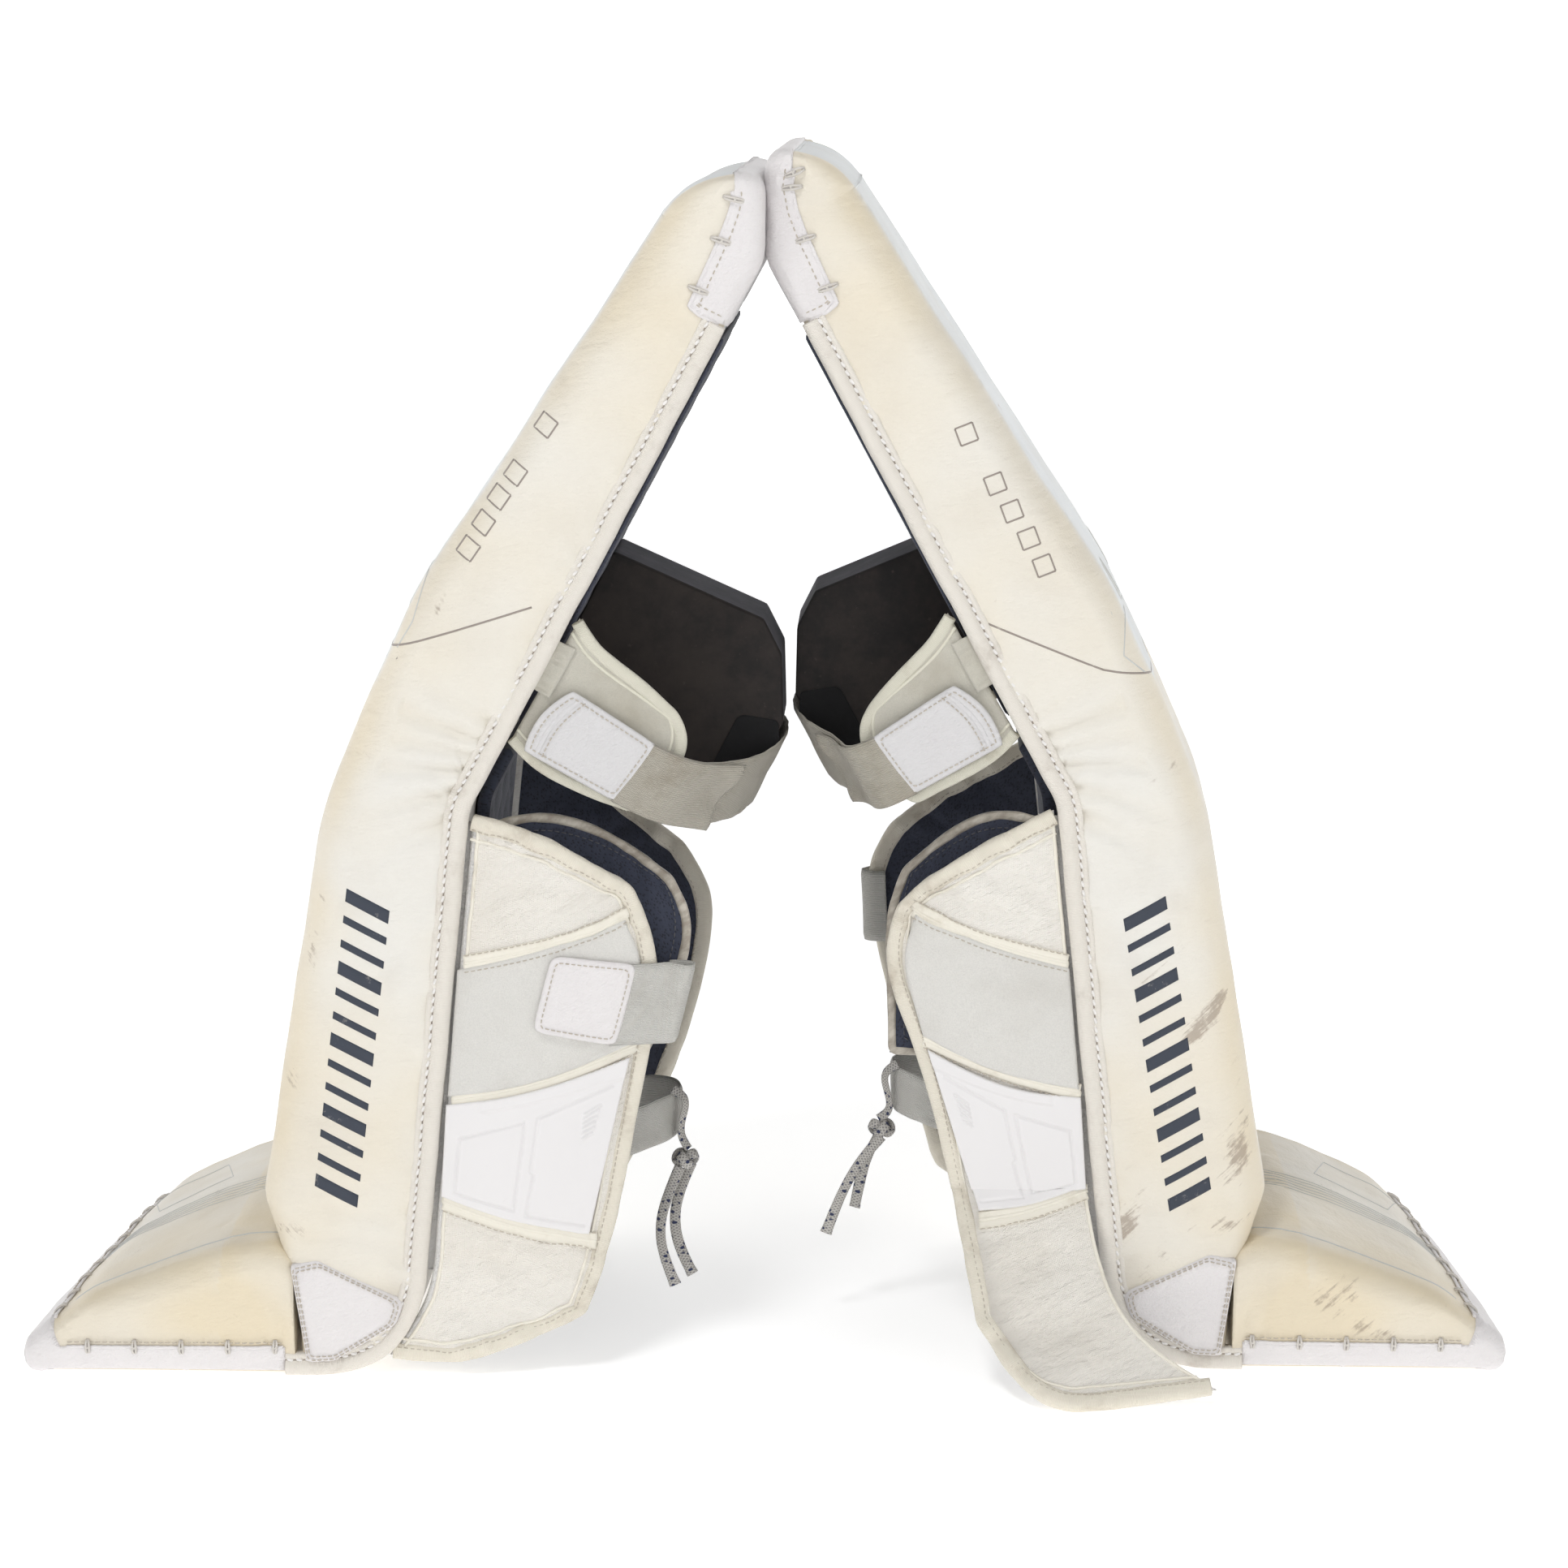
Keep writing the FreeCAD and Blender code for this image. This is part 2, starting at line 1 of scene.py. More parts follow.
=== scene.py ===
"""The looks of a pair of goalie leg pads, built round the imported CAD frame.

Each pad is drawn in its own frame, in millimetres, as the CAD source does: u runs outward from the
plane between the pads towards the pad's face and toe, y runs from the near side to the far side and
z is the height. to_frame() turns that into the shared frame, in metres.
"""
import math

import bmesh
import bpy
import numpy as np
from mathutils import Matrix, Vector
from mathutils.bvhtree import BVHTree


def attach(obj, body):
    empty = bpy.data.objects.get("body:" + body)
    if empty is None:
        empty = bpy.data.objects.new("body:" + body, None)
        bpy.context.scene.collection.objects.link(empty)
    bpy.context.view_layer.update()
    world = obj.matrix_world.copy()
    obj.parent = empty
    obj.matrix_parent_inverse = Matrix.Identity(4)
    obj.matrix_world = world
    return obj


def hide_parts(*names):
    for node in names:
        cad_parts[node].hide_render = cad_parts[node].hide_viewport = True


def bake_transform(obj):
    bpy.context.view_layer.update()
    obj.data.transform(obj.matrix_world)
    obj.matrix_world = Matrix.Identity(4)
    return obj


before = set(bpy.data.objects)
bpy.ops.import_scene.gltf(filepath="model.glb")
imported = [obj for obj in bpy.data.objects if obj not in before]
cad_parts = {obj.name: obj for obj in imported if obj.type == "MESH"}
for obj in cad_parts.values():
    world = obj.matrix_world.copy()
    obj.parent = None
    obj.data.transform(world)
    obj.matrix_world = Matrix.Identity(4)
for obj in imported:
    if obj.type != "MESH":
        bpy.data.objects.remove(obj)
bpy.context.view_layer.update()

MM = 0.001
SIDES = ("left", "right")
OUTWARD = {"left": -1.0, "right": 1.0}
SETBACK = {"left": 9.0, "right": 37.0}      # each pad's centre plane along Y
HALF = 139.5               # half the pad's width
NEAR = np.array([0.0, -1.0, 0.0])
FAR = -NEAR


# ---- camera, light and floor ----
CAMERA_PLACE = (0.0796, -2.3295, 0.7931)
CAMERA_TURN = (90 - 10.94, 0.0, 1.755)         # degrees
CAMERA_LENS = 87.58
# name, place, target, width of the disk, watts
LIGHTS = [
    ("key_light", (-0.6, -1.5, 3.0), (0, 0, 0.35), 0.7, 27.5),
    ("fill_light", (1.9, -2.2, 1.2), (0, 0, 0.35), 1.0, 3.4),
    ("back_light", (0.5, 2.4, 2.4), (0, 0, 0.4), 1.6, 7.0),
]
WORLD_STRENGTH = 0.29
WALL_DISTANCE = 9.0
WALL_HEIGHT = 3.6
WHITE = (1.0, 1.0, 1.0, 1.0)


def glowing(name, grey, strength):
    shader = Shader(name, (grey, grey, grey), 0.9)
    shader.bsdf.inputs["Emission Color"].default_value = WHITE
    shader.bsdf.inputs["Emission Strength"].default_value = strength
    return shader.material


def make_stage():
    scene = bpy.context.scene
    data = bpy.data.cameras.new("camera")
    data.sensor_width = 36.0
    data.lens = CAMERA_LENS
    camera = bpy.data.objects.new("camera", data)
    camera.location = CAMERA_PLACE
    camera.rotation_euler = [math.radians(a) for a in CAMERA_TURN]
    scene.collection.objects.link(camera)
    scene.camera = camera
    for name, place, target, size, power in LIGHTS:
        light = bpy.data.lights.new(name, "AREA")
        light.shape = "DISK"
        light.size = size
        light.energy = power
        lamp = bpy.data.objects.new(name, light)
        lamp.location = place
        lamp.rotation_euler = (Vector(target) - Vector(place)).to_track_quat("-Z", "Y").to_euler()
        scene.collection.objects.link(lamp)
    world = bpy.data.worlds.new("studio")
    world.use_nodes = True
    world.node_tree.nodes["Background"].inputs["Color"].default_value = WHITE
    world.node_tree.nodes["Background"].inputs["Strength"].default_value = WORLD_STRENGTH
    scene.world = world
    scene.view_settings.view_transform = "Standard"

    far = WALL_DISTANCE
    corners = [(-far, -far), (far, -far), (far, far), (-far, far)]
    planes = [("floor", [(x, y, 0) for x, y in corners], glowing("backdrop_white", 0.93, 0.52))]
    glow = glowing("backdrop_glow", 0.9, 0.8)
    for k, (start, end) in enumerate(zip(corners, corners[1:] + corners[:1])):
        wall = [(*start, 0), (*end, 0), (*end, WALL_HEIGHT), (*start, WALL_HEIGHT)]
        planes.append((f"backdrop_{k + 1}", wall, glow))
    for name, points, material in planes:
        mesh = bpy.data.meshes.new(name)
        mesh.from_pydata(points, [], [(0, 1, 2, 3)])
        mesh.materials.append(material)
        plane = bpy.data.objects.new(name, mesh)
        scene.collection.objects.link(plane)


# ---- materials ----
class Shader:
    """A material's node tree with short calls for the nodes used here."""

    def __init__(self, name, color, roughness):
        self.material = bpy.data.materials.new(name)
        self.material.use_nodes = True
        self.nodes = self.material.node_tree.nodes
        self.links = self.material.node_tree.links
        self.bsdf = self.nodes["Principled BSDF"]
        self.bsdf.inputs["Base Color"].default_value = (*color, 1.0)
        self.bsdf.inputs["Roughness"].default_value = roughness
        self.place = self.nodes.new("ShaderNodeTexCoord")

    def coordinates(self, source="Object", scale=(1, 1, 1), turn=(0, 0, 0), mirrored=False):
        """Coordinates that are turned first and then scaled, and mirror each other across X if asked."""
        vector = self.place.outputs[source]
        if mirrored:
            absolute = self.nodes.new("ShaderNodeVectorMath")
            absolute.operation = "ABSOLUTE"
            self.links.new(vector, absolute.inputs[0])
            vector = absolute.outputs["Vector"]
        for key, values in (("Rotation", [math.radians(a) for a in turn]), ("Scale", scale)):
            mapping = self.nodes.new("ShaderNodeMapping")
            mapping.inputs[key].default_value = values
            self.links.new(vector, mapping.inputs["Vector"])
            vector = mapping.outputs["Vector"]
        return vector

    def noise(self, scale, detail=3.0, vector=None, roughness=0.55):
        node = self.nodes.new("ShaderNodeTexNoise")
        node.inputs["Scale"].default_value = scale
        node.inputs["Detail"].default_value = detail
        node.inputs["Roughness"].default_value = roughness
        self.links.new(vector or self.place.outputs["Object"], node.inputs["Vector"])
        return node.outputs["Fac"]

    def streaks(self, scale, turn, detail, roughness, mirrored=False):
        """Stretched noise, turned about the Y axis by an angle in degrees."""
        vector = self.coordinates(scale=scale, turn=(0, turn, 0), mirrored=mirrored)
        return self.noise(1.0, detail, vector, roughness)

    def cells(self, scale, vector=None):
        node = self.nodes.new("ShaderNodeTexVoronoi")
        node.inputs["Scale"].default_value = scale
        self.links.new(vector or self.place.outputs["Object"], node.inputs["Vector"])
        return node.outputs["Distance"]

    def wave(self, pitch, vector, axis="X", distortion=0.0):
        """A sine band texture of a pitch given in the vector's own unit."""
        node = self.nodes.new("ShaderNodeTexWave")
        node.bands_direction = axis
        node.inputs["Scale"].default_value = 2 * math.pi / 20 / pitch
        node.inputs["Distortion"].default_value = distortion
        self.links.new(vector, node.inputs["Vector"])
        return node.outputs["Fac"]

    def attribute(self, name):
        node = self.nodes.new("ShaderNodeAttribute")
        node.attribute_name = name
        return node.outputs["Fac"]

    def ramp(self, value, low, high, smooth=True):
        """0 below low, 1 above high."""
        node = self.nodes.new("ShaderNodeMapRange")
        node.interpolation_type = "SMOOTHSTEP" if smooth else "LINEAR"
        node.inputs["From Min"].default_value = low
        node.inputs["From Max"].default_value = high
        self.links.new(value, node.inputs["Value"])
        return node.outputs["Result"]

    def math(self, operation, first, second=0.0):
        node = self.nodes.new("ShaderNodeMath")
        node.operation = operation
        for socket, value in zip(node.inputs, (first, second)):
            if isinstance(value, (int, float)):
                socket.default_value = value
            else:
                self.links.new(value, socket)
        return node.outputs["Value"]

    def times(self, first, second):
        return self.math("MULTIPLY", first, second)

    def add(self, first, second):
        return self.math("ADD", first, second)

    def mix(self, factor, first, second, share=None):
        """A colour between two, each a colour or a socket; share scales the factor."""
        if share is not None:
            factor = self.times(factor, share)
        node = self.nodes.new("ShaderNodeMix")
        node.data_type = "RGBA"
        color_inputs = [s for s in node.inputs if s.type == "RGBA"]
        self.links.new(factor, node.inputs["Factor"])
        for socket, value in zip(color_inputs, (first, second)):
            if isinstance(value, tuple):
                socket.default_value = (*value, 1.0)
            else:
                self.links.new(value, socket)
        return [s for s in node.outputs if s.type == "RGBA"][0]

    def color(self, socket):
        self.links.new(socket, self.bsdf.inputs["Base Color"])

    def roughness(self, socket):
        self.links.new(socket, self.bsdf.inputs["Roughness"])

    def sheen(self, weight, roughness=0.5):
        self.bsdf.inputs["Sheen Weight"].default_value = weight
        self.bsdf.inputs["Sheen Roughness"].default_value = roughness

    def bump(self, *layers):
        """Bump layers, each (height socket, distance in millimetres, strength)."""
        last = None
        for height, distance, strength in layers:
            node = self.nodes.new("ShaderNodeBump")
            node.inputs["Distance"].default_value = distance * MM
            node.inputs["Strength"].default_value = strength
            self.links.new(height, node.inputs["Height"])
            if last is not None:
                self.links.new(last, node.inputs["Normal"])
            last = node.outputs["Normal"]
        self.links.new(last, self.bsdf.inputs["Normal"])
        return self.material


def shaded(color, share):
    return tuple(c * share for c in color)


def leather_skin():
    """Cream synthetic leather that has yellowed and been scuffed, with painted cool light on the faces between its
    sides above the knee.
    """
    s = Shader("cream_leather", (0.80, 0.74, 0.61), 0.5)
    cloud = s.add(s.times(s.noise(7.0, 4.0), 1.1), 0.45)
    tint = s.times(s.attribute("tint"), cloud)
    cream = s.mix(s.ramp(tint, 0.0, 1.0, False), (0.745, 0.725, 0.675), (0.735, 0.645, 0.48))
    # painted light: the faces between the sides above the knee take a cool blue-grey tone where they are lit
    # differently
    cream = s.mix(s.attribute("panel"), cream, (0.66, 0.70, 0.73))
    streaks = s.streaks((330, 40, 26), -48, 4.0, 0.7, mirrored=True)
    marks = s.times(s.add(streaks, s.noise(55.0, 5.0, roughness=0.7)), 0.527)
    wear = s.attribute("grime")
    mask = s.ramp(s.add(marks, s.times(wear, 0.20)), 0.68, 0.80)
    mask = s.times(mask, s.ramp(wear, 0.05, 0.6))
    dusty = s.mix(s.ramp(s.noise(16.0, 5.0), 0.45, 0.8), cream, (0.50, 0.43, 0.34), 0.16)
    # darker towards the bottom, and in blotches that are heavier at the rounded side edges
    dusty = s.mix(s.attribute("darkening"), dusty, (0.42, 0.36, 0.30), 0.75)
    s.color(s.mix(mask, dusty, (0.25, 0.18, 0.13), 0.62))
    s.roughness(s.add(s.times(s.noise(30.0), 0.2), 0.38))
    return s.bump((s.streaks((60, 60, 150), 12, 4.0, 0.6), 2.6, 0.55), (s.cells(900.0), 0.2, 0.5))


def grosgrain(name, color, dirt):
    """Ribbed edge tape; its map's second axis runs along the tape, in millimetres."""
    s = Shader(name, color, 0.85)
    ribs = s.wave(0.95, s.coordinates("UV"), "Y", 0.4)
    grime = s.ramp(s.noise(28.0, 5.0, roughness=0.7), 0.52, 0.78)
    s.color(s.mix(grime, s.mix(ribs, color, shaded(color, 0.72), 0.14), dirt, 0.55))
    s.sheen(0.15)
    return s.bump((s.noise(120.0, 3.0), 0.8, 0.3), (ribs, 0.28, 0.6))


def white_leather(name, color):
    s = Shader(name, color, 0.42)
    s.color(s.mix(s.ramp(s.noise(22.0, 4.0), 0.5, 0.9), color, (0.62, 0.58, 0.60), 0.28))
    s.roughness(s.add(s.times(s.noise(60.0), 0.18), 0.33))
    return s.bump((s.streaks((110, 110, 240), 30, 5.0, 0.65), 2.6, 0.6), (s.cells(900.0), 0.22, 0.6))


def woven_nylon(name, color, shade):
    """Plain weave; its map is in millimetres."""
    s = Shader(name, color, 0.62)
    flat = s.coordinates("UV")
    weave = s.times(s.wave(1.15, flat, "X"), s.wave(1.15, flat, "Y"))
    base = s.mix(s.ramp(s.noise(9.0, 5.0), 0.4, 0.75), color, shade, 0.5)
    s.color(s.mix(weave, base, shaded(color, 0.66), 0.13))
    s.sheen(0.25, 0.4)
    return s.bump((s.streaks((30, 60, 95), 25, 4.0, 0.6), 7.0, 0.75),
                  (s.streaks((90, 120, 200), -35, 4.0, 0.6), 1.8, 0.5), (weave, 0.3, 0.7))


def pile(name, color, shade):
    """Brushed loop fabric."""
    s = Shader(name, color, 0.95)
    fuzz = s.noise(1100.0, 5.0, roughness=0.8)
    base = s.mix(s.ramp(s.noise(24.0, 4.0, roughness=0.55), 0.4, 0.8), color, shade)
    s.color(s.mix(s.ramp(fuzz, 0.35, 0.75), base, shaded(color, 0.70), 0.45))
    s.sheen(0.5, 0.5)
    return s.bump((s.noise(60.0, 4.0), 1.2, 0.4), (fuzz, 0.9, 0.9))


def webbing(name, color, shade, pitch):
    """Elastic webbing with fine cords along its length; its map is in millimetres."""
    s = Shader(name, color, 0.88)
    cords = s.wave(pitch, s.coordinates("UV"), "X", 0.25)
    crimp = s.noise(1.0, 3.0, s.coordinates("UV", scale=(0.5, 2.6, 1.0)))
    grime = s.ramp(s.noise(24.0, 5.0, roughness=0.7), 0.42, 0.75)
    s.color(s.mix(cords, s.mix(grime, color, shade, 0.75), shaded(color, 0.6), 0.22))
    s.sheen(0.2)
    return s.bump((s.noise(38.0, 4.0), 3.2, 0.6), (crimp, 0.8, 0.7), (cords, 0.5, 0.8))


def mesh_lining():
    """Dark knitted lining with small holes; its map is in millimetres."""
    s = Shader("dark_mesh", (0.012, 0.016, 0.032), 0.8)
    holes = s.cells(0.55, s.coordinates("UV"))
    s.color(s.mix(s.ramp(holes, 0.1, 0.5), (0.007, 0.009, 0.018), (0.03, 0.036, 0.062)))
    s.sheen(0.2)
    return s.bump((s.noise(30.0, 3.0), 2.0, 0.5), (holes, 0.35, 0.6))


def block_foam(name, dark, light):
    s = Shader(name, dark, 0.88)
    base = s.mix(s.ramp(s.noise(14.0, 6.0, roughness=0.7), 0.35, 0.7), dark, light)
    s.color(s.mix(s.ramp(s.noise(260.0), 0.66, 0.8), base, shaded(light, 2), 0.5))
    return s.bump((s.noise(70.0, 4.0), 0.5, 0.4), (s.cells(520.0), 0.2, 0.5))


def moulded(name, color):
    s = Shader(name, color, 0.38)
    scuff = s.ramp(s.streaks((70, 70, 300), 50, 5.0, 0.7), 0.62, 0.8)
    s.color(s.mix(scuff, color, shaded(color, 0.75), 0.25))
    s.roughness(s.add(s.times(s.noise(40.0), 0.2), 0.28))
    return s.bump((s.noise(1500.0, 2.0), 0.05, 0.5))


def satin(name, color, shade):
    s = Shader(name, color, 0.4)
    crush = s.streaks((55, 90, 120), 35, 5.0, 0.65)
    s.color(s.mix(s.ramp(crush, 0.35, 0.7), shade, color))
    s.sheen(0.3)
    return s.bump((crush, 2.2, 0.6))


def lace_weave():
    """Flat tubular lace with a dotted tracer thread; its map is in millimetres."""
    s = Shader("lace_weave", (0.43, 0.42, 0.40), 0.85)
    left, right = (s.wave(1.5, s.coordinates("UV", turn=(0, 0, lean)), "X") for lean in (50, -50))
    braid = s.math("MAXIMUM", left, right)
    tracer = s.ramp(s.cells(0.26, s.coordinates("UV")), 0.34, 0.2)
    light = s.mix(s.ramp(braid, 0.3, 0.9), (0.26, 0.25, 0.24), (0.55, 0.53, 0.50))
    s.color(s.mix(tracer, light, (0.035, 0.045, 0.10)))
    return s.bump((braid, 0.35, 0.8))


def thread(name, color):
    s = Shader(name, color, 0.7)
    return s.bump((s.noise(900.0), 0.1, 0.5))


def ink(name, color):
    s = Shader(name, color, 0.5)
    rubbed = s.ramp(s.noise(90.0, 5.0, roughness=0.75), 0.60, 0.74)
    s.color(s.mix(rubbed, color, (0.62, 0.58, 0.52), 0.35))
    return s.bump((s.cells(900.0), 0.08, 0.3))


def make_looks():
    return {
        "skin": leather_skin(),
        "tape": grosgrain("edge_tape_ribbed", (0.76, 0.72, 0.655), (0.40, 0.34, 0.28)),
        "flap_tape": grosgrain("flap_tape_ribbed", (0.75, 0.705, 0.605), (0.38, 0.31, 0.23)),
        "white": white_leather("white_leather_grain", (0.74, 0.715, 0.715)),
        # a darker, greyer copy of the white leather for the knee tab: partly the tab's own greyish white, partly
        # painted shade for the shade it lies in
        "white_in_shade": white_leather("leather_grain_painted_shade", (0.63, 0.62, 0.625)),
        "nylon": woven_nylon("flap_nylon_weave", (0.80, 0.77, 0.715), (0.70, 0.65, 0.57)),
        "pale_nylon": woven_nylon("root_nylon_weave", (0.70, 0.69, 0.675), (0.58, 0.565, 0.55)),
        "pile": pile("loop_pile_brushed", (0.80, 0.785, 0.745), (0.72, 0.70, 0.655)),
        # the wing felt's colour is darkened: partly the felt's own tone, partly painted shade for the shade it
        # lies in under the knee block
        "felt": pile("wing_felt_painted_shade", (0.62, 0.595, 0.515), (0.46, 0.42, 0.335)),
        # the knee strap's elastic is drawn darker than the calf elastic: partly its own beige-grey, partly painted
        # shade for the shade under the knee block
        "web": webbing("elastic_ribbed", (0.46, 0.43, 0.365), (0.30, 0.255, 0.19), 1.25),
        "pale_web": webbing("calf_elastic_ribbed", (0.66, 0.65, 0.61), (0.52, 0.50, 0.46), 1.0),
        "lining": mesh_lining(),
        "block": block_foam("block_foam_dark", (0.009, 0.0075, 0.008), (0.030, 0.023, 0.020)),
        "block_edge": block_foam("block_foam_edge", (0.10, 0.10, 0.115), (0.16, 0.155, 0.175)),
        # a near-black sheet on the block's near side, far darker than the foam
        "near_black": block_foam("block_foam_near_black", (0.0012, 0.0012, 0.0018), (0.002, 0.002, 0.003)),
        "plate": moulded("plate_plastic", (0.74, 0.725, 0.725)),
        "satin": satin("satin_binding", (0.56, 0.52, 0.45), (0.30, 0.26, 0.21)),
        "lace": lace_weave(),
        "tie": thread("tie_cord", (0.60, 0.57, 0.53)),
        "thread": thread("stitch_thread_grey", (0.50, 0.45, 0.38)),
        "pale_thread": thread("stitch_thread_white", (0.80, 0.78, 0.76)),
        "dark_thread": thread("stitch_thread_dark", (0.10, 0.10, 0.11)),
        # a dark cord colour under the edge stitches: painted shadow for the shade in the seam's groove
        "groove": thread("seam_groove_painted_shadow", (0.30, 0.26, 0.22)),
        "ink": ink("print_dark", (0.028, 0.036, 0.055)),
        "line": ink("print_line", (0.30, 0.26, 0.23)),
        "faint_line": ink("print_faint", (0.56, 0.56, 0.54)),
        "seam": grosgrain("seam_tape", (0.78, 0.745, 0.655), (0.50, 0.44, 0.34)),
        "wing_edge": grosgrain("wing_tape", (0.66, 0.64, 0.54), (0.40, 0.35, 0.27)),
    }


# ---- numbers: noise, curves and grids ----
def noise(points, size, seed=0):
    """Smooth gradient noise of about -0.7 to 0.7 at points, with features of a given size."""
    points = np.asarray(points, float) / size + 17.3 * (seed + 1)
    cell = np.floor(points).astype(np.int64)
    part = points - cell
    ease = part * part * part * (part * (part * 6 - 15) + 10)
    total = 0.0
    for corner in np.ndindex(2, 2, 2):
        at = cell + np.array(corner)
        mixed = (at[..., 0] * 73856093) ^ (at[..., 1] * 19349663) ^ (at[..., 2] * 83492791) ^ (seed * 97)
        angle = (mixed % 1009) / 1009.0 * 2 * math.pi
        height = (mixed % 613) / 306.5 - 1
        ring = np.sqrt(1 - height ** 2)
        gradient = np.stack([ring * np.cos(angle), ring * np.sin(angle), height], -1)
        weight = np.prod(np.where(np.array(corner) == 1, ease, 1 - ease), -1)
        total = total + weight * (gradient * (part - np.array(corner))).sum(-1)
    return total


def ridges(points, size, seed=0):
    """Noise folded into narrow creases, 0 to 1, with 1 along the creases."""
    return np.clip(1 - np.abs(noise(points, size, seed)) * 3.2, 0, 1) ** 2


def fall(value, low, high):
    """1 below low, falling smoothly to 0 above high."""
    t = np.clip((np.asarray(value, float) - low) / (high - low), 0, 1)
    return 1 - t * t * (3 - 2 * t)


def unit(vectors):
    """The same directions, one long."""
    return vectors / (np.linalg.norm(vectors, axis=-1, keepdims=True) + 1e-12)


def heading(path):
    """The direction of a path at each of its points."""
    return unit(np.gradient(path, axis=0))


def lengths(path):
    """The length along a path up to each of its points."""
    return np.concatenate([[0.0], np.cumsum(np.linalg.norm(np.diff(path, axis=0), axis=1))])


def at_shares(path, shares):
    """Points on a dense path at shares of its length."""
    path = np.asarray(path, float)
    run = lengths(path)
    wanted = np.asarray(shares) * run[-1]
    return np.stack([np.interp(wanted, run, path[:, k]) for k in range(path.shape[1])], -1)


def evenly(path, pitch):
    """Points spread evenly along a path, about pitch apart."""
    count = max(2, int(round(lengths(np.asarray(path, float))[-1] / pitch)) + 1)
    return at_shares(path, np.linspace(0, 1, count))


def spline(points, shares):
    """Points at shares of the length of a smooth curve through a few chosen points."""
    points = np.array(points, float)
    if len(points) == 2:
        return points[0] + (points[1] - points[0]) * np.asarray(shares)[:, None]
    knots = lengths(points)
    gap = np.diff(knots)
    count = len(points)
    system = np.eye(count)
    right = np.zeros_like(points)
    for i in range(1, count - 1):
        system[i, i - 1:i + 2] = gap[i - 1], 2 * (gap[i - 1] + gap[i]), gap[i]
        right[i] = 6 * ((points[i + 1] - points[i]) / gap[i] - (points[i] - points[i - 1]) / gap[i - 1])
    bend = np.linalg.solve(system, right)
    t = np.linspace(0, knots[-1], 400)
    i = np.clip(np.searchsorted(knots, t, side="right") - 1, 0, count - 2)
    before, after, h = (t - knots[i])[:, None], (knots[i + 1] - t)[:, None], gap[i][:, None]
    dense = (bend[i] * after ** 3 + bend[i + 1] * before ** 3) / (6 * h)
    dense += (points[i] / h - bend[i] * h / 6) * after + (points[i + 1] / h - bend[i + 1] * h / 6) * before
    return at_shares(dense, shares)


def rounded(corners, step=3.0):
    """A dense open path (u, z) with an arc of the given radius at each inner corner (u, z, radius)."""
    points = [np.array(corners[0][:2], float)]
    for before, corner, after in zip(corners, corners[1:], corners[2:]):
        here = np.array(corner[:2], float)
        back = np.array(before[:2]) - here
        ahead = np.array(after[:2]) - here
        back, ahead = back / np.linalg.norm(back), ahead / np.linalg.norm(ahead)
        half = math.acos(np.clip(back @ ahead, -1, 1)) / 2
        reach = corner[2] / math.tan(half)
        start, end = here + back * reach, here + ahead * reach
        count = max(2, int((math.pi - 2 * half) * corner[2] / step))
        for k in range(count + 1):
            t = k / count
            points.append(start * (1 - t) ** 2 + here * 2 * t * (1 - t) + end * t * t)
    points.append(np.array(corners[-1][:2], float))
    return np.array(points)


def patch(top, bottom, root, free, down, over):
    """A grid blended between four boundary curves; down and over are shares along its sides."""
    top, bottom = spline(top, over), spline(bottom, over)
    root, free = spline(root, down), spline(free, down)
    d, o = np.asarray(down)[:, None, None], np.asarray(over)[None, :, None]
    ruled = top[None] * (1 - d) + bottom[None] * d + root[:, None] * (1 - o) + free[:, None] * o
    corners = (top[0] * (1 - d) * (1 - o) + top[-1] * (1 - d) * o
               + bottom[0] * d * (1 - o) + bottom[-1] * d * o)
    return ruled - corners


def shares(count, crowd=0.0):
    """Shares from 0 to 1, crowded towards both ends by up to 1."""
    t = np.linspace(0, 1, count)
    return t - crowd * np.sin(2 * math.pi * t) / (2 * math.pi)


def normals_of(grid, outward, wrap=False):
    """Normals over a grid, turned to the outward side if one is given."""
    over = np.roll(grid, -1, 1) - np.roll(grid, 1, 1) if wrap else np.gradient(grid, axis=1)
    normal = unit(np.cross(np.gradient(grid, axis=0), over))
    if outward is not None and (normal @ np.asarray(outward)).mean() < 0:
        normal = -normal
    return normal


def grid_faces(rows, columns, wrap=False, first=0):
    """The four-sided faces of a grid; wrap joins its last column to its first."""
    i, j = np.meshgrid(np.arange(rows - 1), np.arange(columns if wrap else columns - 1), indexing="ij")
    k = (j + 1) % columns
    faces = np.stack([i * columns + j, i * columns + k, (i + 1) * columns + k, (i + 1) * columns + j], -1)
    return (faces.reshape(-1, 4) + first).tolist()


def closed_loops(rows, columns):
    """Faces round a stack of loops, and a cap at each end."""
    last = (rows - 1) * columns
    caps = [list(range(columns)), [last + k for k in range(columns - 1, -1, -1)]]
    return grid_faces(rows, columns, wrap=True) + caps


def edge_distances(grid):
    """How far each point of a grid is from its top, bottom, root and free edges, along the grid."""
    along = np.zeros(grid.shape[:2])
    along[:, 1:] = np.cumsum(np.linalg.norm(np.diff(grid, axis=1), axis=-1), axis=1)
    down = np.zeros(grid.shape[:2])
    down[1:] = np.cumsum(np.linalg.norm(np.diff(grid, axis=0), axis=-1), axis=0)
    return down, down[-1:] - down, along, along[:, -1:] - along


# ---- making pieces ----
LOOKS = {}                  # the materials by name, filled before any piece is made


def to_frame(points, side):
    """Points of a pad's own frame, in millimetres, as points of the shared frame, in metres."""
    points = np.asarray(points, float).reshape(-1, 3)
    return np.column_stack([points[:, 0] * OUTWARD[side], points[:, 1] + SETBACK[side], points[:, 2]]) * MM


